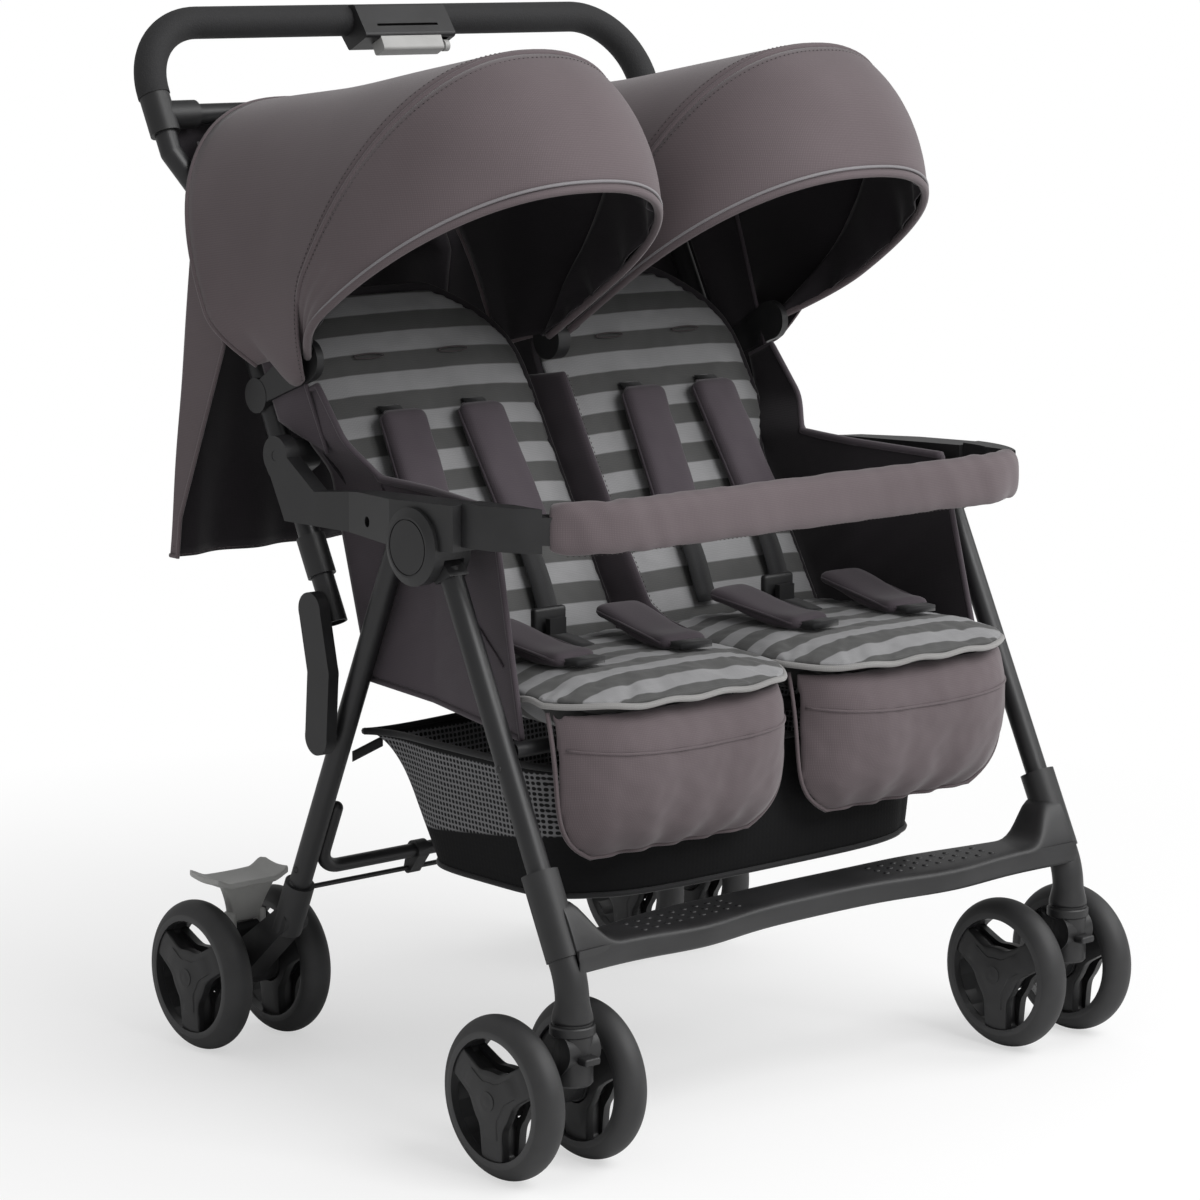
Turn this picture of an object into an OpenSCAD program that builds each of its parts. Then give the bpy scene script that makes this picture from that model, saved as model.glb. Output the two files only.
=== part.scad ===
// Side by side double stroller: a folding tube frame on twin wheels with two padded seats.
// Front is -Y, up is +Z, and the origin lies on the floor under the middle of the outline.
// Every place is measured from the front axle and lifted and centred by place().

/* [Wheels] */
// Outer diameter of every wheel
wheel_d = 150; // [138:1:156]
// Width of the tyre
tyre_w = 32; // [26:1:36]
// Radial thickness of the tyre
tyre_t = 13; // [9:0.5:16]
// Distance between the two wheels of a pair
pair_spacing = 96; // [92:1:104]
// Diameter of the wheel axles
axle_d = 8; // [6:0.5:10]
// Diameter of the wheel's hub
hub_d = 38; // [32:1:42]
// Width of one wheel spoke
spoke_w = 20; // [14:1:26]

/* [Chassis] */
// Front axle to rear axle
wheelbase = 518; // [505:1:540]
// Distance between the two front wheel pairs
front_track = 648; // [640:1:670]
// How far a rear wheel pair stands in from the front one
rear_inset = 38; // [34:1:42]
// Outer diameter of the leg and handle tubes
tube_d = 22; // [20:0.5:23]
// Wall of the leg and handle tubes
tube_wall = 1.6; // [1.2:0.1:2.4]
// How far a caster wheel trails its swivel axis
caster_trail = 37; // [30:1:42]
// Diameter of the frame's pivot pins
pivot_d = 10; // [8:0.5:11]
// Diameter of the rear cross tube
cross_d = 14; // [12:0.5:16]

/* [Handle] */
// Lean of the handle from upright
handle_lean = 27; // [25:0.5:29]
// Height of the grip along the handle, from the fold link pin
grip_reach = 612; // [600:1:640]
// Outer diameter of the foam grip
grip_d = 32; // [28:1:36]
// Drop of the cross tube below the grip
grip_drop = 98; // [90:1:112]
// Width of the trigger housing
housing_w = 116; // [96:1:130]
// Travel of the squeeze trigger
trigger_travel = 8; // [5:0.5:9]

/* [Seats] */
// Thickness of the seat pad
seat_t = 52; // [40:1:56]
// Depth of the seat pad
seat_depth = 256; // [240:1:256]
// Length of the seat back
back_len = 376; // [350:1:390]
// Thickness of the seat back
back_t = 30; // [22:1:36]
// Lean of the seat back from upright
back_lean = 24.5; // [22:0.1:25]
// Length of the leg rest
legrest_len = 140; // [120:1:142]

/* [Canopy] */
// Distance of the front edge from the canopy pivot
visor_front_reach = 316; // [290:1:330]
// Distance of the middle bow from the canopy pivot
visor_seam_reach = 346; // [330:1:356]
// Angle of the front edge above level
visor_front_angle = 32.5; // [28:0.5:36]
// Angle of the middle bow above level
visor_seam_angle = 56.5; // [52:0.5:60]
// Thickness of the canopy cloth with its lining
cloth_t = 3; // [2:0.5:4]

/* [Hidden] */
$fn = 48;
overrun = 1;
seat_gap = 0.3;
run_gap = 0.05;
slip_gap = 0.1;
wheel_r = wheel_d / 2;
tube_r = tube_d / 2;
pivot_r = pivot_d / 2;
axle_r = axle_d / 2;
grip_r = grip_d / 2;
cross_r = cross_d / 2;
half_front = front_track / 2;
rear_track = front_track - 2 * rear_inset;
half_rear = rear_track / 2;
corner_steps = 5;

// Places of the frame's pivots, as [back, up] from the front axle
armrest_pivot = [244, 485];
front_pivot = [160, 473];
handle_pivot = [399, 530];
link_pin = [352, 387];
canopy_pivot = [372, 622];
link_foot_reach = 242;

// Handle frame: along the tube from the link pin
handle_out = 6;
handle_x = half_rear + handle_out;
grip_out = 26;
grip_x = handle_x + grip_out;
connector_half = 20;
grip_straight = 3;
bend_r = grip_drop - connector_half - grip_straight;
crossbar_reach = grip_reach - grip_drop;
jog_len = 56;
jog_high_reach = crossbar_reach - 2 * connector_half;
jog_low_reach = jog_high_reach - jog_len;
handle_top_y = link_pin.x + grip_reach * sin(handle_lean);
mid_y = (handle_top_y + grip_r - wheel_r) / 2;

// Rear leg, from its pivot down to the wheel housing
axle_behind = 54;
leg_foot_z = 64.3;
rear_leg_lean = atan2(wheelbase - axle_behind - armrest_pivot.x, armrest_pivot.y);
rear_dir = [sin(rear_leg_lean), -cos(rear_leg_lean)];
rear_leg_len = (armrest_pivot.y - leg_foot_z) / cos(rear_leg_lean);
link_foot = armrest_pivot + rear_dir * link_foot_reach;
knuckle_head_r = 13;
knuckle_reach = 16;

// Front leg: a straight tube, then a curved moulded lower leg
front_tube_top = [128, 445];
front_tube_low = [-7, 165];
swivel_y = -caster_trail;
front_lean = atan2(front_tube_top.x - front_tube_low.x, front_tube_top.y - front_tube_low.y);
front_corner = [swivel_y, front_tube_low.y - (front_tube_low.x - swivel_y) / tan(front_lean)];
fork_bottom_z = 69;
fork_r = 15;
fork_bend_r = 80;
caster_collar_r = 18;
caster_collar_h = 25;
caster_arm_w = 36;
caster_gap = 0.4;

// Armrest moulding: inner and outer walls with a pocket for the front leg
pocket_gap = 0.5;
arm_in_wall = 6.5;
arm_out_wall = 7.5;
arm_rear_w = 16;
arm_pocket_in_x = half_front - tube_r - pocket_gap;
arm_pocket_out_x = half_front + tube_r + pocket_gap;
arm_in_x = arm_pocket_in_x - arm_in_wall;
arm_rear_x = arm_in_x + arm_rear_w;
arm_out_x = arm_pocket_out_x + arm_out_wall;
leg_room = 5;
arm_shoulder = [94, -14];
arm_brow = [20, -6];
arm_belly = 40;
arm_tail = [-14, -1];
arm_chin = 4;
arm_top_z = 516;
arm_low_z = 470;
arm_front_y = 104;
hub_r = 36;
hub_cap_t = 8;
ear_r = 19;

// Bumper bar, a rounded U in plan
bumper_front_y = -12;
bumper_in = 5;
bumper_out_x = arm_out_x - bumper_in;
bumper_bend_r = 110;
bumper_arm_w = 22;
bumper_inset = 5;
bumper_arm_h = 40;
bumper_z = 498;
cover_h = 50;
cover_w = 32;
cover_angle = 46;
socket_len = 34;
socket_w = 12;
socket_h = 24;

// Seat places
seat_in_x = 8;
seat_front_y = -20;
seat_base_z = 304.3;
seat_bar_z = 297;
seat_bar_r = 7;
seat_front_drop = 62;
seat_lip_t = 14;
seat_edge_drop = 6;
back_hinge = [245, 352];
panel_t = 3;
panel_gap = 2;
panel_flare = 28;
panel_x = half_rear - tube_r - panel_gap - panel_t;
back_in_x = 12;
back_w = panel_x - panel_gap - back_in_x;
seat_rear_w = panel_x - panel_gap - seat_in_x;
seat_w = seat_rear_w + 0.8 * panel_flare;

// Canopy sizes
canopy_in_x = 7;
canopy_pivot_in_x = 8;
canopy_pivot_out_x = arm_in_x + cloth_t;
canopy_side = 40;
canopy_mid_x = (canopy_in_x + canopy_pivot_out_x + canopy_side) / 2;
clip_t = 8;
clip_disc_r = 20;
post_r = 6;

// Colours
tube_colour = "#2d2d2f";
plastic_colour = "#232325";
foam_colour = "#161617";
grey_colour = "#a4a4a2";
taupe_colour = "#6a6063";
lining_colour = "#28252b";
stripe_colour = "#7f7e80";
basket_colour = "#18181a";

// Lift the front axle to wheel height and centre the outline
module place() {
  translate([0, -mid_y, wheel_r]) children();
}

module both_sides() {
  children();
  mirror([1, 0, 0]) children();
}

// A profile in [back, up] drawn out across the stroller from x0 to x1
module slab(x0, x1) {
  translate([x0, 0, 0]) rotate([90, 0, 90]) linear_extrude(x1 - x0) children();
}

module rod_x(x0, x1, p, r) {
  translate([x0, p.x, p.y]) rotate([0, 90, 0]) cylinder(h = x1 - x0, r = r);
}

// A round bar between two points
module bar(p, q, r) {
  v = q - p;
  translate(p) rotate([0, acos(v.z / norm(v)), atan2(v.y, v.x)]) cylinder(h = norm(v), r = r);
}

// Two circles and the straight sides that touch both
module strap2d(p, q, r1, r2) {
  a = atan2(q.y - p.y, q.x - p.x);
  b = acos((r1 - r2) / norm(q - p));
  c = 0.985 * r1;
  d = 0.985 * r2;
  translate(p) circle(r = r1);
  translate(q) circle(r = r2);
  polygon([p + c * [cos(a + b), sin(a + b)], q + d * [cos(a + b), sin(a + b)],
           q + d * [cos(a - b), sin(a - b)], p + c * [cos(a - b), sin(a - b)]]);
}

function unit(v) = v / norm(v);
function mix(a, b, t) = a + (b - a) * t;
function swing(v, angle) = [v.x * cos(angle) - v.y * sin(angle), v.x * sin(angle) + v.y * cos(angle)];

// A corner replaced by an arc
function corner_arc(a, b, c, r) =
  let (u = unit(a - b), v = unit(c - b), half = acos(u * v) / 2, m = b + unit(u + v) * r / sin(half),
       p = b + u * r / tan(half), q = b + v * r / tan(half), a0 = atan2(p.y - m.y, p.x - m.x),
       turn = (atan2(q.y - m.y, q.x - m.x) - a0 + 540) % 360 - 180)
  [for (i = [0:corner_steps]) m + r * [cos(a0 + turn * i / corner_steps),
      sin(a0 + turn * i / corner_steps)]];

function rounded(pts, r) =
  let (n = len(pts))
  [for (i = [0:n - 1]) each corner_arc(pts[(i + n - 1) % n], pts[i], pts[(i + 1) % n], r)];

// A closed solid between an outer and an inner grid of points
module sheet(outer, inner) {
  rows = len(outer);
  cols = len(outer[0]);
  n = rows * cols;
  at = function(i, j, k) k * n + i * cols + j;
  polyhedron(
    points = concat([for (r = outer) each r], [for (r = inner) each r]),
    faces = concat(
      [for (i = [0:rows - 2], j = [0:cols - 2]) each
        [[at(i, j, 0), at(i + 1, j + 1, 0), at(i + 1, j, 0)], [at(i, j, 0), at(i, j + 1, 0), at(i + 1,
            j + 1, 0)],
         [at(i, j, 1), at(i + 1, j, 1), at(i + 1, j + 1, 1)], [at(i, j, 1), at(i + 1, j + 1, 1), at(i,
             j + 1, 1)]]],
      [for (i = [0:rows - 2]) each
        [[at(i, 0, 0), at(i + 1, 0, 0), at(i + 1, 0, 1)], [at(i, 0, 0), at(i + 1, 0, 1), at(i, 0, 1)],
         [at(i, cols - 1, 0), at(i + 1, cols - 1, 1), at(i + 1, cols - 1, 0)],
         [at(i, cols - 1, 0), at(i, cols - 1, 1), at(i + 1, cols - 1, 1)]]],
      [for (j = [0:cols - 2]) each
        [[at(0, j, 0), at(0, j + 1, 1), at(0, j + 1, 0)], [at(0, j, 0), at(0, j, 1), at(0, j + 1, 1)],
         [at(rows - 1, j, 0), at(rows - 1, j + 1, 0), at(rows - 1, j + 1, 1)],
         [at(rows - 1, j, 0), at(rows - 1, j + 1, 1), at(rows - 1, j, 1)]]]));
}

// Handle frame: up is along the tube, forward is -Y
module on_handle() {
  translate([0, link_pin.x, link_pin.y]) rotate([-handle_lean, 0, 0]) children();
}

function handle_local(p) =
  let (d = p - link_pin)
  [d.x * cos(handle_lean) - d.y * sin(handle_lean), d.x * sin(handle_lean) + d.y * cos(handle_lean)];

// Wheels

rim_t = 6;
web_t = 15;
hub_w = 34;
bolt_ring_r = 14;
bolt_r = 2.5;
bolt_holes = 12;
bolt_socket_depth = 7;
window_corner = 8;

function window_outline() =
  let (r_out = wheel_r - tyre_t - rim_t, r_in = hub_d / 2, h = spoke_w / 2,
       a_out = asin(h / r_out), a_in = asin(h / r_in), steps = 6)
  concat([for (i = [0:steps]) r_out * [cos(mix(a_out, 120 - a_out, i / steps)), sin(mix(a_out,
      120 - a_out, i / steps))]],
         [r_in * [cos(120 - a_in), sin(120 - a_in)], r_in * [cos(a_in), sin(a_in)]]);

module wheel(x, y, socketed) {
  color(plastic_colour) place() translate([x, y, 0]) rotate([0, 90, 0]) difference() {
    union() {
      rotate_extrude($fn = 96) {
        translate([wheel_r - tyre_w / 2, 0]) intersection() {
          circle(r = tyre_w / 2);
          translate([tyre_w / 2 - tyre_t - rim_t, -tyre_w / 2]) square([tyre_t + rim_t, tyre_w]);
        }
      }
      difference() {
        translate([0, 0, -web_t / 2]) cylinder(h = web_t, r = wheel_r - tyre_t, $fn = 96);
        for (k = [0:2]) rotate([0, 0, 120 * k]) translate([0, 0, -web_t]) linear_extrude(2 * web_t)
          polygon(rounded(window_outline(), window_corner / 2));
      }
      translate([0, 0, -hub_w / 2]) cylinder(h = hub_w, r = hub_d / 2);
    }
    translate([0, 0, -hub_w]) cylinder(h = 2 * hub_w, r = axle_r + run_gap);
    if (socketed) for (k = [0:bolt_holes - 1]) rotate([0, 0, 360 * k / bolt_holes])
      translate([bolt_ring_r, 0, -hub_w / 2 - overrun]) cylinder(h = bolt_socket_depth + overrun,
          r = bolt_r + slip_gap * 4);
  }
}

module front_wheel_left_outer() { wheel(half_front + pair_spacing / 2, 0, false); }
module front_wheel_left_inner() { wheel(half_front - pair_spacing / 2, 0, false); }
module front_wheel_right_inner() { wheel(-half_front + pair_spacing / 2, 0, false); }
module front_wheel_right_outer() { wheel(-half_front - pair_spacing / 2, 0, false); }
module rear_wheel_left_outer() { wheel(half_rear + pair_spacing / 2, wheelbase, true); }
module rear_wheel_left_inner() { wheel(half_rear - pair_spacing / 2, wheelbase, false); }
module rear_wheel_right_inner() { wheel(-half_rear + pair_spacing / 2, wheelbase, true); }
module rear_wheel_right_outer() { wheel(-half_rear - pair_spacing / 2, wheelbase, false); }

// Axle with a round cap at each end
axle_cap_r = 9;
axle_cap_t = 3;
axle_end = pair_spacing / 2 + hub_w / 2 + seat_gap;

module axle(x, y) {
  rod_x(x - axle_end, x + axle_end, [y, 0], axle_r);
  rod_x(x - axle_end - axle_cap_t, x - axle_end, [y, 0], axle_cap_r);
  rod_x(x + axle_end, x + axle_end + axle_cap_t, [y, 0], axle_cap_r);
}

// Rear frame

module rear_leg(r) {
  a = armrest_pivot + rear_dir * knuckle_reach;
  b = armrest_pivot + rear_dir * rear_leg_len;
  bar([half_rear, a.x, a.y], [half_rear, b.x, b.y], r);
}

module rear_legs() {
  a = armrest_pivot + rear_dir * (knuckle_reach - overrun);
  b = armrest_pivot + rear_dir * (rear_leg_len + overrun);
  color(tube_colour) place() both_sides() difference() {
    rear_leg(tube_r);
    bar([half_rear, a.x, a.y], [half_rear, b.x, b.y], tube_r - tube_wall);
    rod_x(half_rear, half_rear + tube_d, link_foot, pivot_r * 0.8 + run_gap);
  }
}

plug_len = 30;

module leg_knuckles() {
  a = armrest_pivot;
  b = armrest_pivot + rear_dir * (knuckle_reach - slip_gap);
  c = armrest_pivot + rear_dir * (knuckle_reach + plug_len);
  color(plastic_colour) place() both_sides() union() {
    rod_x(half_rear - tube_r, arm_in_x - seat_gap, a, knuckle_head_r);
    bar([half_rear, a.x, a.y], [half_rear, b.x, b.y], tube_r);
    bar([half_rear, b.x, b.y], [half_rear, c.x, c.y], tube_r - tube_wall - slip_gap);
    rod_x(half_rear, arm_rear_x - seat_gap, a, pivot_r);
  }
}

// Cross tube: level between the legs, its bent ends run up beside them
leg_socket_len = 44;
cross_above = 14;
housing_top_reach = rear_leg_len - leg_socket_len;
cross_leg_reach = housing_top_reach - cross_above;
cross_bend_r = 24;
cross_end_len = 48;

module rear_cross_tube() {
  foot = armrest_pivot + rear_dir * cross_leg_reach;
  side_x = half_rear - tube_r - cross_r - seat_gap;
  color(tube_colour) place() translate([0, foot.x, foot.y]) rotate([rear_leg_lean, 0, 0]) {
    translate([-side_x + cross_bend_r, 0, 0]) rotate([0, 90,
        0]) cylinder(h = 2 * (side_x - cross_bend_r), r = cross_r);
    both_sides() {
      translate([side_x - cross_bend_r, 0, cross_bend_r]) rotate([90, 0, 0]) rotate([0, 0, -90])
        rotate_extrude(angle = 90) translate([cross_bend_r, 0]) circle(r = cross_r);
      translate([side_x, 0, cross_bend_r]) cylinder(h = cross_end_len, r = cross_r);
      translate([side_x, 0, cross_bend_r + cross_end_len]) sphere(r = cross_r);
    }
  }
}

// Wheel housing: a socket for the leg, a web and the axle boss
housing_r = 15;
boss_r = 18;
boss_lip = 1;
web_half = 14;
web_r = 12;
boss_half = pair_spacing / 2 - hub_w / 2 - caster_gap;

module rear_housing(pedal_side) {
  top = armrest_pivot + rear_dir * housing_top_reach;
  foot = armrest_pivot + rear_dir * rear_leg_len;
  low = foot + rear_dir * web_r;
  difference() {
    union() {
      bar([half_rear, top.x, top.y], [half_rear, low.x, low.y], housing_r);
      slab(half_rear - web_half, half_rear + web_half) {
        strap2d(foot, [wheelbase, 0], web_r, boss_r);
        if (pedal_side) strap2d(pedal_pivot, [wheelbase, 0], pedal_lug_r, boss_r);
      }
      rod_x(half_rear - boss_half, half_rear + boss_half, [wheelbase, 0], boss_r + boss_lip);
      if (pedal_side) rod_x(half_rear - web_half - pedal_t, half_rear + web_half + pedal_t, pedal_pivot,
          pedal_pin_r);
    }
    bar([half_rear, top.x, top.y] - [0, rear_dir.x, rear_dir.y] * overrun, [half_rear, foot.x,
        foot.y] + [0, rear_dir.x, rear_dir.y] * slip_gap,
        tube_r + slip_gap);
    rod_x(half_rear - boss_half - overrun, half_rear + boss_half + overrun, [wheelbase, 0],
        axle_r + run_gap);
    rod_x(half_rear, half_rear + boss_half + overrun, [wheelbase, bolt_ring_r], bolt_r + run_gap);
  }
}

module rear_housings() {
  color(plastic_colour) place() {
    rear_housing(false);
    translate([-rear_track, 0, 0]) rear_housing(true);
  }
}

module rear_axles() {
  color(tube_colour) place() {
    axle(half_rear, wheelbase);
    axle(-half_rear, wheelbase);
  }
}

// Brake: a foot pedal on the right housing, two bolts and the cable between the sides
pedal_ahead = 8;
pedal_high = 40;
pedal_pivot = [wheelbase - pedal_ahead, pedal_high];
pedal_w = 92;
pedal_t = 7;
pedal_front = 14;
pedal_back = 36;
pedal_rise = 54;
pedal_lug_r = 8;
pedal_pin_r = 3.5;
pedal_notch = 22;

module brake_pedal() {
  x = -half_rear;
  top = pedal_pivot + [0, pedal_rise];
  neck = top - [0, pedal_t * 2];
  color(grey_colour) place() difference() {
    union() {
      slab(x - web_half - pedal_t, x - web_half - seat_gap) strap2d(pedal_pivot, neck, pedal_lug_r,
          pedal_lug_r);
      slab(x + web_half + seat_gap, x + web_half + pedal_t) strap2d(pedal_pivot, neck, pedal_lug_r,
          pedal_lug_r);
      slab(x - web_half - pedal_t, x + web_half + pedal_t)
        polygon(rounded([top + [-pedal_front, 0], top + [pedal_back / 2, 0], neck + [pedal_lug_r, 0],
            neck + [-pedal_lug_r, 0]], pedal_t / 3));
      slab(x - pedal_w / 2, x + pedal_w / 2)
        polygon(rounded([top + [-pedal_front, 0], top + [-pedal_front, -pedal_t], top + [pedal_back,
            -pedal_t / 2],
                         top + [pedal_back, pedal_t / 2]], pedal_t / 3));
    }
    rod_x(x - pedal_w, x + pedal_w, pedal_pivot, pedal_pin_r + run_gap);
    translate([x - pedal_notch / 2, top.x + pedal_back / 2, top.y - pedal_t - overrun])
      cube([pedal_notch, pedal_back, 2 * pedal_t + 2 * overrun]);
  }
}

module brake_bolts() {
  color(tube_colour) place() for (x = [half_rear, -half_rear])
    rod_x(x + overrun, x + boss_half, [wheelbase, bolt_ring_r], bolt_r);
}

cable_r = 2.5;
cable_drop = 20;
clip_x = -150;
cable_clip_w = 14;
cable_clip_t = 3;

module brake_cable() {
  foot = armrest_pivot + rear_dir * cross_leg_reach;
  p = foot + [cable_drop / 2, -cable_drop];
  color(plastic_colour) place() {
    rod_x(-half_rear + housing_r + seat_gap / 2, half_rear - housing_r - seat_gap / 2, p, cable_r);
    difference() {
      slab(clip_x, clip_x + cable_clip_w) strap2d(foot, p, cross_r + cable_clip_t, cable_r + cable_clip_t);
      rod_x(clip_x - overrun, clip_x + cable_clip_w + overrun, foot, cross_r + slip_gap);
    }
  }
}

// Armrests

function arm_side() = [
  handle_pivot + [ear_r, 0], handle_pivot + [0, ear_r], handle_pivot + [-ear_r, 0], [armrest_pivot.x,
      arm_top_z] + arm_shoulder,
  [armrest_pivot.x, arm_top_z] + arm_brow, [arm_front_y, arm_top_z], [arm_front_y, arm_low_z + arm_chin],
  [front_pivot.x, arm_low_z], [armrest_pivot.x + arm_belly, arm_low_z], [handle_pivot.x,
      arm_low_z] + arm_tail];

function arm_plan() = [
  [arm_in_x, handle_pivot.x + 2 * ear_r], [arm_in_x, arm_front_y - overrun], [arm_out_x,
      arm_front_y - overrun],
  [arm_out_x, front_pivot.x + hub_r], [arm_rear_x, armrest_pivot.x + arm_belly], [arm_rear_x,
      handle_pivot.x + 2 * ear_r]];

module leg_sweep(reach, r) {
  steps = 4;
  low = unit(front_tube_top - front_pivot);
  turn = 114;
  strap2d(front_pivot, front_pivot + reach * low, r, r);
  strap2d(front_pivot, front_pivot + reach * swing(low, turn), r, r);
  polygon(concat([front_pivot], [for (i = [0:steps]) front_pivot + reach * 1.2 * swing(low,
      turn * i / steps)]));
}

module armrest() {
  difference() {
    union() {
      intersection() {
        slab(arm_in_x, arm_out_x) {
          polygon(arm_side());
          translate(handle_pivot) circle(r = ear_r);
          translate(front_pivot) circle(r = hub_r);
        }
        translate([0, 0, arm_low_z - 2 * hub_r]) linear_extrude(8 * hub_r) polygon(arm_plan());
      }
    }
    slab(arm_pocket_in_x, arm_pocket_out_x) leg_sweep(3 * hub_r, tube_r + leg_room);
    rod_x(0, arm_out_x + overrun, front_pivot, pivot_r + run_gap);
    rod_x(0, arm_rear_x + hub_r, armrest_pivot, pivot_r + run_gap);
    rod_x(0, arm_out_x + overrun, handle_pivot, pivot_r + run_gap);
    translate([bumper_out_x - bumper_arm_w / 2 - socket_w / 2 - seat_gap, arm_front_y - overrun,
               bumper_z - socket_h / 2 - seat_gap])
      cube([socket_w + 2 * seat_gap, socket_len + 2 * overrun, socket_h + 2 * seat_gap]);
  }
}

module armrests() {
  color(plastic_colour) place() both_sides() armrest();
}

groove_r = 26;
groove_w = 1.2;

module hub_caps() {
  color(plastic_colour) place() both_sides()
    translate([arm_out_x, front_pivot.x, front_pivot.y]) rotate([0, 90, 0]) difference() {
      union() {
        cylinder(h = hub_cap_t / 2, r = hub_r);
        translate([0, 0, hub_cap_t / 2]) cylinder(h = hub_cap_t / 2, r1 = hub_r, r2 = hub_r - hub_cap_t);
      }
      translate([0, 0, hub_cap_t - groove_w]) difference() {
        cylinder(h = 2 * groove_w, r = groove_r);
        translate([0, 0, -overrun]) cylinder(h = 2 * groove_w + 2 * overrun, r = groove_r - groove_w);
      }
    }
}

// Front frame

module front_legs() {
  t = front_tube_top;
  b = front_tube_low;
  color(tube_colour) place() both_sides() difference() {
    bar([half_front, t.x, t.y], [half_front, b.x, b.y], tube_r);
    bar([half_front, t.x, t.y] + [0, t.x - b.x, t.y - b.y] * overrun / norm(t - b),
        [half_front, b.x, b.y] - [0, t.x - b.x, t.y - b.y] * overrun / norm(t - b), tube_r - tube_wall);
  }
}

module front_knuckles() {
  t = front_tube_top;
  d = unit(front_tube_low - front_tube_top);
  plug = t + d * plug_len;
  shoulder = t - d * slip_gap;
  color(plastic_colour) place() both_sides() {
    difference() {
      slab(half_front - tube_r, half_front + tube_r) strap2d(front_pivot, t, knuckle_head_r, tube_r);
      slab(half_front - tube_d, half_front + tube_d)
        polygon([shoulder + swing(d, 90) * tube_d, shoulder + swing(d, 90) * tube_d + d * tube_d,
                 shoulder - swing(d, 90) * tube_d + d * tube_d, shoulder - swing(d, 90) * tube_d]);
    }
    bar([half_front, t.x, t.y] - [0, d.x, d.y] * plug_len / 3, [half_front, plug.x, plug.y],
        tube_r - tube_wall - slip_gap);
    rod_x(arm_in_x + seat_gap, arm_out_x - seat_gap, front_pivot, pivot_r);
  }
}

// Footrest bar: a moulding that dips between two leg sleeves
sleeve_r = 17;
sleeve_up = 34;
rest_w = 40;
rest_mid_w = 60;
rest_t = 20;
rest_end_z = 124;
rest_dip = 6;
rest_bow = 12;
rest_steps = 12;

function rest_share(i) = 2 * i / rest_steps - 1;
function rest_y(s) = mix(front_tube_low.x + (rest_end_z - front_tube_low.y) * tan(front_lean), rest_bow,
    1 - s * s);
function rest_z(s) = rest_end_z - rest_dip * (1 - s * s);
function rest_half(s) = mix(rest_w, rest_mid_w, 1 - s * s) / 2;

module footrest_bar() {
  d = unit(front_tube_low - front_tube_top);
  up = front_tube_low - d * sleeve_up;
  low = front_tube_low + d * 1.35 * sleeve_up;
  color(plastic_colour) place() difference() {
    union() {
      intersection() {
        translate([0, 0, rest_end_z - 2 * rest_w]) linear_extrude(4 * rest_w)
          polygon(concat([for (i = [0:rest_steps]) [half_front * rest_share(i),
              rest_y(rest_share(i)) - rest_half(rest_share(i))]],
                         [for (i = [rest_steps:-1:0]) [half_front * rest_share(i),
                             rest_y(rest_share(i)) + rest_half(rest_share(i))]]));
        translate([0, 2 * wheelbase, 0]) rotate([90, 0, 0]) linear_extrude(4 * wheelbase)
          polygon(concat([for (i = [0:rest_steps]) [half_front * rest_share(i),
              rest_z(rest_share(i)) - rest_t / 2]],
                         [for (i = [rest_steps:-1:0]) [half_front * rest_share(i),
                             rest_z(rest_share(i)) + rest_t / 2]]));
      }
      both_sides() bar([half_front, up.x, up.y], [half_front, low.x, low.y], sleeve_r);
    }
    both_sides() bar([half_front, up.x, up.y] - [0, d.x, d.y] * overrun, [half_front, low.x, low.y] + [0,
        d.x, d.y] * overrun,
                     tube_r + slip_gap);
    both_sides() bar([half_front, low.x, low.y], [half_front, low.x, low.y] + [0, d.x, d.y] * rest_w,
        tube_r + 2 * seat_gap);
  }
}

// Lower leg: follows the tube, then bends to the upright swivel axis
module forks() {
  d = unit(front_tube_low - front_tube_top);
  run = fork_bend_r * tan(front_lean / 2);
  bend_top = front_corner - d * run;
  top = front_tube_low + d * slip_gap;
  color(plastic_colour) place() both_sides() translate([half_front, 0, 0]) difference() {
    union() {
      bar([0, top.x, top.y], [0, bend_top.x, bend_top.y], tube_r);
      translate([0, bend_top.x, bend_top.y]) sphere(r = tube_r);
      translate([0, swivel_y + fork_bend_r, front_corner.y - run]) rotate([90, 0, -90])
        rotate_extrude(angle = front_lean) translate([fork_bend_r, 0]) circle(r = tube_r);
      translate([0, swivel_y, fork_bottom_z]) cylinder(h = front_corner.y - run - fork_bottom_z,
          r = tube_r);
      translate([0, swivel_y, fork_bottom_z]) cylinder(h = 2 * tube_r, r1 = caster_collar_r, r2 = tube_r);
    }
    translate([0, swivel_y, fork_bottom_z - overrun]) cylinder(h = 2 * caster_collar_r + overrun,
        r = pivot_r + run_gap);
  }
}

// Tube under the seat edge, with a hinge rail on two straps for each leg rest
rail_r = 3;
rail_half = 60;
rail_pin = [8, 316];
strap_t = 6;

module seat_front_bar() {
  y = front_tube_top.x - (front_tube_top.y - seat_bar_z) * tan(front_lean);
  mid = seat_in_x + seat_w / 2;
  color(tube_colour) place() {
    rod_x(-half_front + tube_r + slip_gap, half_front - tube_r - slip_gap, [y, seat_bar_z], seat_bar_r);
    both_sides() {
      rod_x(mid - rail_half, mid + rail_half, rail_pin, rail_r);
      for (x = [mid - rail_half * 0.7, mid + rail_half * 0.7])
        slab(x - strap_t / 2, x + strap_t / 2) strap2d(rail_pin, [y, seat_bar_z], rail_r * 1.2,
            seat_bar_r * 0.8);
    }
  }
}

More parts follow.
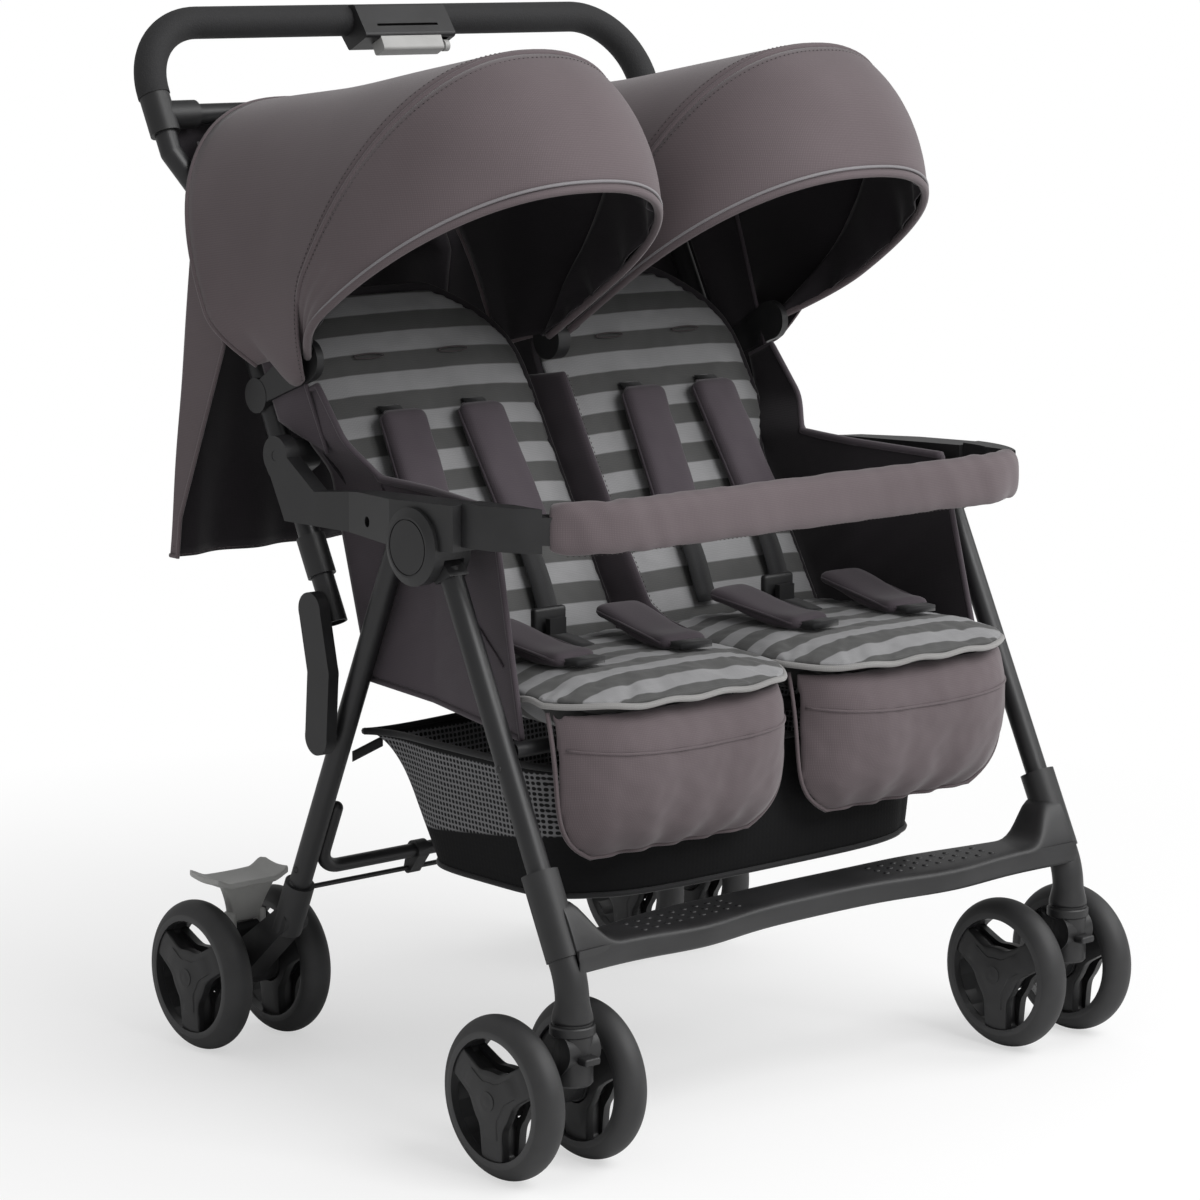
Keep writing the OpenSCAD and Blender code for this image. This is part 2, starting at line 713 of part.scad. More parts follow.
// Caster: swivel pin and collar, an arm down to the axle
module caster(x) {
  top = fork_bottom_z - caster_gap;
  collar = [swivel_y, top - caster_collar_h];
  color(plastic_colour) place() {
    translate([x, swivel_y, collar.y]) cylinder(h = caster_collar_h, r = caster_collar_r);
    translate([x, swivel_y, top - overrun]) cylinder(h = 2 * caster_collar_r + overrun - caster_gap,
        r = pivot_r);
    slab(x - caster_arm_w / 2, x + caster_arm_w / 2) strap2d(collar, [0, 0], caster_collar_r, boss_r);
    rod_x(x - boss_half, x + boss_half, [0, 0], boss_r);
    axle(x, 0);
  }
}

module caster_left() { caster(half_front); }
module caster_right() { caster(-half_front); }

// Handle, drawn in its own leaning frame

module handle_path(r, extra) {
  both_sides() {
    translate([handle_x, 0, -knuckle_reach - extra]) cylinder(h = jog_low_reach + knuckle_reach + extra,
        r = r);
    translate([handle_x, 0, jog_low_reach]) sphere(r = r);
    bar([handle_x, 0, jog_low_reach], [grip_x, 0, jog_high_reach], r);
    translate([grip_x, 0, jog_high_reach]) sphere(r = r);
    translate([grip_x, 0, jog_high_reach]) cylinder(h = grip_reach - bend_r - jog_high_reach, r = r);
    translate([grip_x - bend_r, 0, grip_reach - bend_r]) rotate([90, 0, 0])
      rotate_extrude(angle = 90) translate([bend_r, 0]) circle(r = r);
  }
  translate([-grip_x + bend_r, 0, grip_reach]) rotate([0, 90, 0]) cylinder(h = 2 * (grip_x - bend_r),
      r = r);
}

module handle_tube() {
  color(tube_colour) place() on_handle() difference() {
    handle_path(tube_r, 0);
    handle_path(tube_r - tube_wall, overrun);
  }
}

connector_r = 15;

module handle_grip() {
  low = crossbar_reach + connector_half + slip_gap;
  color(foam_colour) place() on_handle() both_sides() {
    translate([grip_x, 0, low]) difference() {
      cylinder(h = grip_reach - bend_r - low, r = grip_r);
      translate([0, 0, -overrun]) cylinder(h = grip_reach - low, r = tube_r + slip_gap);
    }
    translate([grip_x - bend_r, 0, grip_reach - bend_r]) rotate([90, 0, 0])
      rotate_extrude(angle = 90) translate([bend_r, 0]) difference() {
        circle(r = grip_r);
        circle(r = tube_r + slip_gap);
      }
    translate([housing_w / 2 + slip_gap, 0, grip_reach]) rotate([0, 90, 0]) difference() {
      cylinder(h = grip_x - bend_r - housing_w / 2 - slip_gap, r = grip_r);
      translate([0, 0, -overrun]) cylinder(h = grip_x, r = tube_r + slip_gap);
    }
  }
}

crossbar_r = 10;

module handle_crossbar() {
  end = grip_x - tube_r - slip_gap;
  color(tube_colour) place() on_handle() translate([-end, 0, crossbar_reach]) rotate([0, 90, 0])
    cylinder(h = 2 * end, r = crossbar_r);
}

module handle_connectors() {
  color(plastic_colour) place() on_handle() both_sides() difference() {
    union() {
      translate([grip_x, 0, crossbar_reach - connector_half]) cylinder(h = 2 * connector_half,
          r = connector_r);
      translate([grip_x - 2 * connector_half, 0, crossbar_reach]) rotate([0, 90, 0])
        cylinder(h = 2 * connector_half, r = crossbar_r + joint_wall);
    }
    translate([grip_x, 0, crossbar_reach - 2 * connector_half]) cylinder(h = 4 * connector_half,
        r = tube_r + slip_gap);
    translate([grip_x - 3 * connector_half, 0, crossbar_reach]) rotate([0, 90, 0])
      cylinder(h = 3 * connector_half, r = crossbar_r + slip_gap);
  }
}

// Trigger housing round the middle of the grip
housing_front = 27;
housing_back = 15;
housing_low = 31;
housing_high = 15;
trigger_w = 78;
trigger_front = 25;
trigger_back = 7;
trigger_h = 20;
trigger_in = 6;

module handle_housing() {
  color(plastic_colour) place() on_handle() translate([0, 0, grip_reach]) difference() {
    slab(-housing_w / 2, housing_w / 2) {
      circle(r = grip_r);
      polygon(rounded([[-housing_front, -housing_low], [housing_back / 2, -housing_low], [housing_back, 0],
                       [0, housing_high], [-housing_front * 0.8, housing_high / 2]], housing_high / 4));
    }
    rod_x(-housing_w, housing_w, [0, 0], tube_r + slip_gap);
    translate([-trigger_w / 2 - seat_gap, -trigger_front - seat_gap, -housing_low - overrun])
      cube([trigger_w + 2 * seat_gap, trigger_front - trigger_back,
          trigger_in + trigger_travel + overrun * 2]);
    translate([trigger_w / 2 - overrun, -(trigger_front + trigger_back) / 2 - lock_r - seat_gap,
        -housing_low - overrun])
      cube([lock_travel + lock_t + 3 * overrun, 2 * lock_r + 2 * seat_gap,
            trigger_in - trigger_h + 2 * lock_r + trigger_travel + 3 * overrun]);
  }
}

lock_r = 6;
lock_stem_r = 3;
lock_stem_len = 14;
lock_travel = 5;
lock_t = 6;

module fold_trigger() {
  color(grey_colour) place() on_handle() translate([0, 0, grip_reach - housing_low]) difference() {
    slab(-trigger_w / 2, trigger_w / 2)
      polygon(rounded([[-trigger_front, trigger_in - trigger_h], [-trigger_back - 2 * seat_gap,
          trigger_in - trigger_h],
                       [-trigger_back - 2 * seat_gap, trigger_in], [-trigger_front, trigger_in]],
                           trigger_in * 0.6));
    rod_x(trigger_w / 2 - lock_stem_len - lock_travel, trigger_w,
          [-(trigger_front + trigger_back) / 2, trigger_in - trigger_h + lock_r + overrun],
              lock_stem_r + run_gap);
  }
}

module trigger_lock() {
  p = [-(trigger_front + trigger_back) / 2, trigger_in - trigger_h + lock_r + overrun];
  color(grey_colour) place() on_handle() translate([0, 0, grip_reach - housing_low]) {
    rod_x(trigger_w / 2 - lock_stem_len + lock_travel, trigger_w / 2 + lock_travel + seat_gap + overrun,
        p, lock_stem_r);
    rod_x(trigger_w / 2 + lock_travel + seat_gap, trigger_w / 2 + lock_travel + seat_gap + lock_t, p,
        lock_r);
  }
}

// Pivot mouldings on the handle tubes, each with the armrest pin
joint_r = 17;
joint_wall = 4;
clip_wall = 3;

module handle_joints() {
  p = handle_local(handle_pivot);
  color(plastic_colour) place() on_handle() both_sides() {
    difference() {
      slab(handle_x - tube_r - joint_wall, arm_in_x - seat_gap) strap2d([0, p.y], p, joint_r,
          joint_r - joint_wall / 2);
      translate([handle_x, 0, p.y - 2 * joint_r]) cylinder(h = 4 * joint_r, r = tube_r + slip_gap);
    }
    rod_x(arm_in_x - seat_gap - overrun, arm_rear_x - seat_gap, p, pivot_r);
  }
}

collar_low_reach = 32;
collar_len = 40;
collar_r = 14;

module lock_collars() {
  color(plastic_colour) place() on_handle() both_sides() translate([handle_x, 0,
      collar_low_reach]) difference() {
    cylinder(h = collar_len, r = collar_r);
    translate([0, 0, -overrun]) cylinder(h = collar_len + 2 * overrun, r = tube_r + seat_gap);
  }
}

// Fold links: curved plates from the rear legs to the handle tube ends
link_gap = 4;
link_in_x = handle_x + tube_r + link_gap;
link_t = 12;
link_r = 17;
link_bend_share = 0.52;
link_bend_forward = 9;

module fold_links() {
  elbow = mix(link_foot, link_pin, link_bend_share) - [link_bend_forward, 0];
  color(plastic_colour) place() both_sides() {
    slab(link_in_x, link_in_x + link_t) {
      strap2d(link_foot, elbow, link_r, link_r);
      strap2d(elbow, link_pin, link_r, link_r);
    }
    rod_x(half_rear + tube_r / 2, link_in_x + overrun, link_foot, pivot_r * 0.8);
    rod_x(handle_x + collar_r + seat_gap, link_in_x + overrun, link_pin, pivot_r * 0.8);
  }
}

// Canopy clips on the handle tubes and the centre bracket on its post
module canopy_clips() {
  c = handle_local(canopy_pivot);
  disc_x = canopy_pivot_out_x - cloth_t - seat_gap - slip_gap;
  color(plastic_colour) place() on_handle() {
    both_sides() difference() {
      union() {
        slab(handle_x - tube_r - joint_wall, handle_x + tube_r + clip_wall) translate([0,
            c.y]) circle(r = joint_r);
        slab(disc_x - clip_t, disc_x) strap2d([0, c.y], c, joint_r * 0.6, clip_disc_r);
      }
      translate([handle_x, 0, c.y - 2 * joint_r]) cylinder(h = 4 * joint_r, r = tube_r + slip_gap);
    }
    slab(-canopy_pivot_in_x + seat_gap, canopy_pivot_in_x - seat_gap) translate(c) circle(r = clip_disc_r);
    bar([0, c.x, c.y], [0, -crossbar_r * cos(45) - slip_gap, crossbar_reach - crossbar_r * cos(45)] - [0,
        post_r, post_r], post_r);
    difference() {
      slab(-2 * post_r, 2 * post_r) translate([0,
          crossbar_reach]) circle(r = crossbar_r + 2 * post_r - cross_r / 2);
      rod_x(-3 * post_r, 3 * post_r, [0, crossbar_reach], crossbar_r + slip_gap);
    }
  }
}

// Canopy cloth: arches from the inner to the outer pivot, each on a plane through the pivot line
visor_cols = 22;
visor_rows = 5;
visor_bulge = 12;
arch_power = 2.3;
arch_straight_share = 0.3;

function power(v, n) = v <= 0 ? 0 : pow(v, n);
function arch_t(j) = j / visor_cols;
function arch_x(t, inset) =
  let (leg = arch_straight_share / 2,
       a = t < leg ? 0 : t > 1 - leg ? 180 : 180 * (t - leg) / (1 - 2 * leg),
       s = t < leg ? t / leg : t > 1 - leg ? (1 - t) / leg : 1,
       side = cos(a) >= 0 ? -1 : 1,
       wide = side < 0 ? canopy_mid_x - mix(canopy_pivot_in_x, canopy_in_x, sin(90 * s)) - inset
                       : mix(canopy_pivot_out_x, 2 * canopy_mid_x - canopy_in_x,
                           sin(90 * s)) - canopy_mid_x - inset)
  canopy_mid_x + side * wide * power(abs(cos(a)), 2 / arch_power);
function arch_rise(t, straight, reach) =
  let (leg = arch_straight_share / 2, a = t < leg ? 0 : t > 1 - leg ? 180 : 180 * (t - leg) / (1 - 2 * leg),
       s = t < leg ? t / leg : t > 1 - leg ? (1 - t) / leg : 1)
  s * straight + (reach - straight) * power(sin(a), 2 / arch_power);

function visor_point(t, v, inset) =
  let (angle = mix(visor_front_angle, visor_seam_angle, v), start = clip_disc_r * 0.4,
       reach = mix(visor_front_reach, visor_seam_reach, v) + visor_bulge * 4 * v * (1 - v) - inset,
       rise = start + arch_rise(t, reach * 0.3, reach - start))
  [arch_x(t, inset), canopy_pivot.x - rise * cos(angle), canopy_pivot.y + rise * sin(angle)];

module visor() {
  color(taupe_colour) place() sheet(
    [for (i = [0:visor_rows]) [for (j = [0:visor_cols]) visor_point(arch_t(j), i / visor_rows, 0)]],
    [for (i = [0:visor_rows]) [for (j = [0:visor_cols]) visor_point(arch_t(j), i / visor_rows, cloth_t)]]);
}

module canopy_visor_left() { visor(); }
module canopy_visor_right() { mirror([1, 0, 0]) visor(); }

// Rear cover: from the middle bow back to just ahead of the handle tubes
cover_rows = 5;
cover_gap_angle = 1.2;
cover_leg = 60;
cover_back_gap = 19;
cover_under_bar = 18;
cover_top_reach = crossbar_reach - cover_under_bar;

function cover_point(t, v, inset) =
  let (seam = visor_seam_angle + cover_gap_angle, start = clip_disc_r * 0.4,
       rise = start + arch_rise(t, (visor_seam_reach - inset) * 0.3, visor_seam_reach - inset - start),
       a = [arch_x(t, inset), canopy_pivot.x - rise * cos(seam), canopy_pivot.y + rise * sin(seam)],
       low = handle_local(canopy_pivot).y,
       up = low + arch_rise(t, cover_leg, cover_top_reach - low - inset) + joint_r * 1.4,
       b = [arch_x(t, inset), link_pin.x + up * sin(handle_lean) - cover_back_gap * cos(handle_lean),
            link_pin.y + up * cos(handle_lean) + cover_back_gap * sin(handle_lean)])
  mix(a, b, v);

module rear_cover() {
  color(taupe_colour) place() sheet(
    [for (i = [0:cover_rows]) [for (j = [0:visor_cols]) cover_point(arch_t(j), i / cover_rows, 0)]],
    [for (i = [0:cover_rows]) [for (j = [0:visor_cols]) cover_point(arch_t(j), i / cover_rows, cloth_t)]]);
}

module canopy_rear_left() { rear_cover(); }
module canopy_rear_right() { mirror([1, 0, 0]) rear_cover(); }

// Rear curtains: cloth that hangs behind the seats in soft folds and turns forward at the side
curtain_cols = 16;
curtain_flap_cols = 4;
curtain_rows = 6;
curtain_in_x = 14;
curtain_out = 7;
curtain_out_x = grip_x + curtain_out;
curtain_low_z = 412;
curtain_low_y = 574;
curtain_slope = 0.148;
curtain_slit = [476, 630];
curtain_corner_z = 735;
curtain_fold = 5;
curtain_folds = 4;
curtain_back_gap = 18;
curtain_flap_min = 14;

// Side edge of the hanging cloth and the front edge of its side flap, by height
function curtain_edge(z) = curtain_low_y - curtain_slope * (z - curtain_low_z);
function curtain_front(z) =
  z > curtain_slit.y ? mix(curtain_slit.x, curtain_edge(curtain_corner_z),
      (z - curtain_slit.y) / (curtain_corner_z - curtain_slit.y))
                     : mix(curtain_low_y, curtain_slit.x,
                         (z - curtain_low_z) / (curtain_slit.y - curtain_low_z));

function curtain_point(j, v, back) =
  let (n = curtain_cols - curtain_flap_cols, w = min(1, j / n), side = max(0, (j - n) / curtain_flap_cols),
       top = link_pin.y + crossbar_reach * cos(handle_lean), outer = max(0, w * n - n + 2),
       z = mix(mix(top, curtain_corner_z, outer * outer / 4), curtain_low_z, v),
       tube_y = link_pin.x + (z - link_pin.y) * tan(handle_lean) + curtain_back_gap + curtain_fold
           * min(1, outer),
       inner_y = max(curtain_edge(z), tube_y) + curtain_fold * sin(360 * curtain_folds * w) * v + back,
       edge_y = curtain_edge(z) + back * (1 - min(1, side * 2)),
       y = outer > 1 ? mix(inner_y, edge_y, outer - 1) : inner_y)
  [mix(curtain_in_x, curtain_out_x, w) + (j >= n ? back - cloth_t : 0), mix(y,
      min(y - curtain_flap_min, curtain_front(z)), side), z];

module curtain() {
  sheet(
    [for (i = [0:curtain_rows]) [for (j = [0:curtain_cols]) curtain_point(j, i / curtain_rows, cloth_t)]],
    [for (i = [0:curtain_rows]) [for (j = [0:curtain_cols]) curtain_point(j, i / curtain_rows, 0)]]);
}

module rear_curtain() {
  color(taupe_colour) place() both_sides() curtain();
}

// Seats: crowned pads whose edges draw in

pad_edge_share = 0.35;
function crown(u, v) = (1 - pow(2 * u - 1, 4)) * (1 - pow(2 * v - 1, 4));

seat_cols = 12;
seat_rows = 10;
seat_channel = 5;
seat_channels = 2;

function seat_plan(u, v) =
  let (drop = seat_front_drop * pow(abs(2 * u - 1), 5))
  [seat_in_x + mix(seat_w, seat_rear_w, v) * u, seat_front_y + mix(drop, seat_depth, v)];
function seat_top(u, v) =
  let (p = seat_plan(u, v))
  [p.x, p.y, seat_base_z + seat_t - seat_edge_drop * (1 - crown(u, v))
             - seat_channel * pow(abs(cos(180 * seat_channels * v)), 12) * crown(u, v)];
function seat_under(u, v) =
  let (p = seat_plan(u, v), full = min(1, 1.3 * crown(u, 0.5)) * min(1, max(0, (v - 0.22) / 0.08)))
  [p.x, p.y, seat_base_z + (seat_t - seat_lip_t - seat_edge_drop) * (1 - full)];

module seat_pad() {
  color(stripe_colour) place() sheet(
    [for (i = [0:seat_cols]) [for (j = [0:seat_rows]) seat_top(i / seat_cols, j / seat_rows)]],
    [for (i = [0:seat_cols]) [for (j = [0:seat_rows]) seat_under(i / seat_cols, j / seat_rows)]]);
}

module seat_pad_left() { seat_pad(); }
module seat_pad_right() { mirror([1, 0, 0]) seat_pad(); }

back_cols = 12;
back_rows = 12;
back_round_share = 0.7;
back_crown = 10;
back_channel = 4;

function back_half(v) =
  let (s = max(0, (v - back_round_share) / (1 - back_round_share)))
  back_w / 2 * (1 - 0.6 * pow(s, 3));
function back_point(u, v, front) =
  [back_in_x + back_w / 2 + back_half(v) * (2 * u - 1),
   front ? back_t / 2 * (1 - mix(pad_edge_share, 1, crown(u, v))) - back_crown * crown(u, v)
           + back_channel * pow(abs(cos(180 * 3 * v)), 14) * crown(u, v)
         : back_t / 2 * (1 + mix(pad_edge_share, 1, crown(u, v))),
   back_len * v];

module seat_back() {
  color(stripe_colour) place() translate([0, back_hinge.x, back_hinge.y]) rotate([-back_lean, 0, 0]) sheet(
    [for (i = [0:back_cols]) [for (j = [0:back_rows]) back_point(i / back_cols, j / back_rows, true)]],
    [for (i = [0:back_cols]) [for (j = [0:back_rows]) back_point(i / back_cols, j / back_rows, false)]]);
}

module seat_back_left() { seat_back(); }
module seat_back_right() { mirror([1, 0, 0]) seat_back(); }

// Shoulder pads of the harness, on the front of the seat back
pad_w = 44;
pad_len = 132;
pad_t = 10;
pad_reach = 130;
pad_apart = 104;

module harness() {
  mid = back_in_x + back_w / 2;
  color(taupe_colour) place() translate([0, back_hinge.x, back_hinge.y]) rotate([-back_lean, 0, 0])
    for (x = [mid - pad_apart / 2, mid + pad_apart / 2])
      translate([x, -back_crown - seat_gap, pad_reach]) rotate([90, 0, 0]) linear_extrude(pad_t)
        polygon(rounded([[-pad_w / 2, 0], [pad_w / 2, 0], [pad_w / 2, pad_len], [-pad_w / 2, pad_len]],
            pad_w / 4));
}

module harness_left() { harness(); }
module harness_right() { mirror([1, 0, 0]) harness(); }

// Lap belt: two waist pads on the seat and the crotch buckle between them
waist_w = 46;
waist_len = 100;
waist_t = 9;
waist_turn = 28;
buckle_w = 42;
buckle_d = 18;
buckle_h = 34;
buckle_y = 206;
button_w = 20;
button_h = 16;
button_travel = 3;

module lap_belt() {
  mid = seat_in_x + seat_w / 2;
  z = seat_base_z + seat_t + seat_gap;
  color(taupe_colour) place() {
    for (k = [-1, 1]) translate([mid + k * seat_w * 0.27, seat_front_y + seat_depth * 0.6, z]) rotate([0,
        0, -k * waist_turn])
      linear_extrude(waist_t)
        polygon(rounded([[-waist_len / 2, -waist_w / 2], [waist_len / 2, -waist_w / 2], [waist_len / 2,
            waist_w / 2],
                         [-waist_len / 2, waist_w / 2]], waist_w / 4));
    difference() {
      translate([mid - buckle_w / 2, buckle_y - buckle_d, z]) cube([buckle_w, buckle_d, buckle_h]);
      translate([mid - button_w / 2 - seat_gap, buckle_y - buckle_d - overrun,
          z + buckle_h / 2 - button_h / 2 - seat_gap])
        cube([button_w + 2 * seat_gap, overrun + buckle_d / 2, button_h + 2 * seat_gap]);
    }
  }
}

module lap_belt_left() { lap_belt(); }
module lap_belt_right() { mirror([1, 0, 0]) lap_belt(); }

module buckle_button() {
  z = seat_base_z + seat_t + seat_gap;
  color(grey_colour) place() translate([seat_in_x + seat_w / 2 - button_w / 2,
      buckle_y - buckle_d - overrun,
                                        z + buckle_h / 2 - button_h / 2])
    cube([button_w, overrun + buckle_d / 2 - button_travel - seat_gap, button_h]);
}

module buckle_button_left() { buckle_button(); }
module buckle_button_right() { mirror([1, 0, 0]) buckle_button(); }

// Side panels: cloth walls beside the seats, flared to the front, with a hem tab to the armrest
hem_t = 8;
panel_step = 48;
panel_top_z = 506;

module panel_plan() {
  y0 = front_pivot.x - 3 * panel_step;
  y1 = armrest_pivot.x - panel_step / 2;
  y2 = canopy_pivot.x + 2 * panel_step;
  flare = panel_flare * (y1 - y0) / (y1 - seat_front_y - seat_front_drop);
  polygon([[panel_x + flare, y0], [panel_x, y1], [panel_x, y2], [panel_x + panel_t, y2],
           [panel_x + panel_t, y1], [panel_x + flare + panel_t, y0]]);
}

module side_panels() {
  top = arm_low_z - 2 * hem_t;
  color(taupe_colour) place() both_sides() {
    intersection() {
      linear_extrude(2 * canopy_pivot.y) panel_plan();
      slab(0, arm_out_x)
        polygon(rounded([[front_pivot.x - 2 * panel_step, seat_base_z], [front_pivot.x - panel_step,
            panel_top_z],
                         [armrest_pivot.x + panel_step, panel_top_z + hem_t], [canopy_pivot.x - hem_t,
                             canopy_pivot.y - hem_t],
                         [canopy_pivot.x + panel_step / 2, canopy_pivot.y - 3 * hem_t],
                         [back_hinge.x + panel_step, seat_base_z]], hem_t));
    }
    translate([panel_x + panel_t / 2, front_pivot.x, top])
      cube([arm_in_x - panel_x - panel_t / 2 - seat_gap, armrest_pivot.x - front_pivot.x - panel_step,
          hem_t]);
  }
}

divider_gap = 2;

module seat_divider() {
  half = seat_in_x - seat_gap - slip_gap;
  d = [sin(back_lean), cos(back_lean)];
  up = (canopy_pivot.y - clip_disc_r - divider_gap - back_hinge.y) / cos(back_lean);
  color(taupe_colour) place() slab(-half, half)
    polygon(rounded([[seat_depth * 0.35, seat_base_z], [seat_depth * 0.35, seat_base_z + seat_t],
                     back_hinge + d * up * 0.4 - [back_t * 1.6, 0], back_hinge + d * up - [back_t * 0.6, 0],
                     back_hinge + d * up + [back_t * 0.4, 0], [back_hinge.x, seat_base_z]], hem_t / 2));
}

// Leg rests: quilted flaps that hang from the front of the seats
legrest_in = 2;
legrest_w = seat_w - 2 * legrest_in;
legrest_t = 34;
legrest_edge_t = 5;
legrest_top = [2, 330];
legrest_curl = 30;
legrest_wrap = 40;
legrest_cols = 12;
legrest_rows = 8;
pucker = 5;
puckers = 5;

function legrest_half(v) = legrest_w / 2 * (1 - 0.4 * pow(v, 6));
function legrest_point(u, v, front) =
  let (thick = mix(legrest_edge_t, legrest_t, crown(u, v)),
       wrap = legrest_wrap * pow(abs(2 * u - 1), 6) * (1 - v),
       ripple = pucker * pow(v, 3) * cos(360 * puckers * u) * crown(u, 0.5))
  [seat_in_x + seat_w / 2 + legrest_half(v) * (2 * u - 1), (front ? -thick + ripple / 2
      : 0) + legrest_curl * v * v + wrap, -legrest_len * v];

module legrest() {
  color(taupe_colour) place() translate([0, legrest_top.x, legrest_top.y]) sheet(
    [for (i = [0:legrest_cols]) [for (j = [0:legrest_rows]) legrest_point(i / legrest_cols,
        j / legrest_rows, false)]],
    [for (i = [0:legrest_cols]) [for (j = [0:legrest_rows]) legrest_point(i / legrest_cols,
        j / legrest_rows, true)]]);
}

module legrest_left() { legrest(); }
module legrest_right() { mirror([1, 0, 0]) legrest(); }

// Bumper bar: moulded U with plug-in ends, and its padded cover
module bumper_plan(inset) {
  r = bumper_bend_r - inset;
  y = bumper_front_y + bumper_bend_r;
  x = bumper_out_x - bumper_bend_r;
  difference() {
    union() {
      translate([x, y]) circle(r = r);
      translate([-x, y]) circle(r = r);
      translate([-x, y - r]) square([2 * x, r]);
    }
    translate([-2 * bumper_out_x, y]) square([4 * bumper_out_x, bumper_bend_r * 2]);
  }
}

module bumper_bar() {
  y = bumper_front_y + bumper_bend_r;
  color(plastic_colour) place() {
    translate([0, 0, bumper_z - bumper_arm_h / 2]) difference() {
      linear_extrude(bumper_arm_h) difference() {
        bumper_plan(bumper_inset);
        bumper_plan(bumper_inset + bumper_arm_w);
      }
      translate([0, 0, -overrun]) cube_span();
      translate([0, 0, bumper_arm_h - (bumper_arm_h - cover_h * 0.5) / 2]) cube_span();
      both_sides() translate([bumper_out_x - bumper_inset - bumper_arm_w - overrun, y - socket_len,
          -overrun])
        cube([bumper_arm_w / 2 + overrun, button_pocket_len, overrun + button_pocket_h]);
    }
    both_sides() {
      translate([bumper_out_x - bumper_inset - bumper_arm_w, y - overrun, bumper_z - bumper_arm_h / 2])
        cube([bumper_arm_w, arm_front_y - y + overrun - seat_gap, bumper_arm_h]);
      translate([bumper_out_x - bumper_arm_w / 2 - socket_w / 2, arm_front_y - overrun - seat_gap,
          bumper_z - socket_h / 2])
        cube([socket_w, socket_len, socket_h]);
    }
  }
}

// The middle of the bar is thinner, where the cover goes round it
module cube_span() {
  x = bumper_out_x - bumper_bend_r + bumper_bend_r * cos(cover_angle);
  translate([-x, bumper_front_y - overrun, 0]) cube([2 * x, bumper_bend_r * 2,
      (bumper_arm_h - cover_h * 0.5) / 2 + overrun]);
}

button_pocket_len = 26;
button_pocket_h = 12;

module bumper_button() {
  y = bumper_front_y + bumper_bend_r;
  color(plastic_colour) place() translate([bumper_out_x - bumper_inset - bumper_arm_w,
      y - socket_len + seat_gap, bumper_z - bumper_arm_h / 2])
    cube([bumper_arm_w / 2 - seat_gap, button_pocket_len - 2 * seat_gap,
        button_pocket_h - button_travel - seat_gap]);
}

module bumper_button_left() { bumper_button(); }
module bumper_button_right() { mirror([1, 0, 0]) bumper_button(); }

module cover_section() {
  d = (cover_h - cover_w) / 2;
  difference() {
    strap2d([0, -d], [0, d], cover_w / 2, cover_w / 2);
    square([bumper_arm_w + 2 * seat_gap, cover_h * 0.5 + 2 * seat_gap], center = true);
  }
}

module bumper_cover() {
  x = bumper_out_x - bumper_bend_r;
  y = bumper_front_y + bumper_bend_r;
  r = bumper_bend_r - bumper_inset - bumper_arm_w / 2;
  color(taupe_colour) place() translate([0, 0, bumper_z]) {
    translate([-x, y - r, 0]) rotate([0, 90, 0]) rotate([0, 0, 90]) linear_extrude(2 * x) cover_section();
    both_sides() translate([x, y, 0]) rotate([0, 0,
        -90]) rotate_extrude(angle = 90 - cover_angle) translate([r, 0]) cover_section();
  }
}

// Basket: a sagging cloth tub with strap tabs to the legs
basket_in = 26;
basket_half = half_rear - basket_in;
basket_front_y = 46;
basket_back_y = 330;
basket_top_z = 268;
basket_low_z = 142;
basket_sag = 10;
basket_lean = 6;
basket_t = 3;
basket_cols = 36;
basket_rows = 5;
basket_power = 4.5;
tab_w = 18;
tab_t = 4;

function basket_ring(t, v, inset) =
  let (c = cos(t), s = sin(t), shrink = mix(0.92, 1, v), mid = (basket_front_y + basket_back_y) / 2,
       half = (basket_back_y - basket_front_y) / 2,
       lean = basket_lean * (v - 0.5))
  [(basket_half * shrink - inset) * sign(c) * power(abs(c), 2 / basket_power),
   mid + lean + (half * shrink - inset) * sign(s) * power(abs(s), 2 / basket_power),
   mix(basket_low_z, basket_top_z, v)];

function basket_floor(t, v, lift) =
  let (p = basket_ring(t, 0, 0), mid = (basket_front_y + basket_back_y) / 2)
  [p.x * v, mix(mid, p.y, v), basket_low_z - basket_sag * (1 - v * v) + lift];

module basket() {
  ring = function(v, inset) [for (j = [0:basket_cols - 1]) basket_ring(360 * j / basket_cols, v, inset)];
  n = basket_cols;
  pts = concat(
    [for (i = [0:basket_rows]) each ring(i / basket_rows, 0)],
    [for (i = [0:basket_rows]) each [for (p = ring(i / basket_rows, basket_t)) p + [0, 0,
        i == basket_rows ? 0 : basket_t]]],
    [[0, (basket_front_y + basket_back_y) / 2, basket_low_z - basket_sag]],
    [[0, (basket_front_y + basket_back_y) / 2, basket_low_z - basket_sag + basket_t]]);
  outer = function(i, j) i * n + j % n;
  inner = function(i, j) (basket_rows + 1 + i) * n + j % n;
  low = 2 * (basket_rows + 1) * n;
  color(basket_colour) place() {
    polyhedron(points = pts, faces = concat(
      [for (i = [0:basket_rows - 1], j = [0:n - 1]) each
        [[outer(i, j), outer(i + 1, j + 1), outer(i, j + 1)], [outer(i, j), outer(i + 1, j), outer(i + 1,
            j + 1)],
         [inner(i, j), inner(i, j + 1), inner(i + 1, j + 1)], [inner(i, j), inner(i + 1, j + 1),
             inner(i + 1, j)]]],
      [for (j = [0:n - 1]) each
        [[outer(basket_rows, j), inner(basket_rows, j), inner(basket_rows, j + 1)],
         [outer(basket_rows, j), inner(basket_rows, j + 1), outer(basket_rows, j + 1)],
         [outer(0, j), outer(0, j + 1), low], [inner(0, j), low + 1, inner(0, j + 1)]]]));
    both_sides() {
      basket_rear_strap();
      basket_front_loop();
    }
  }
}

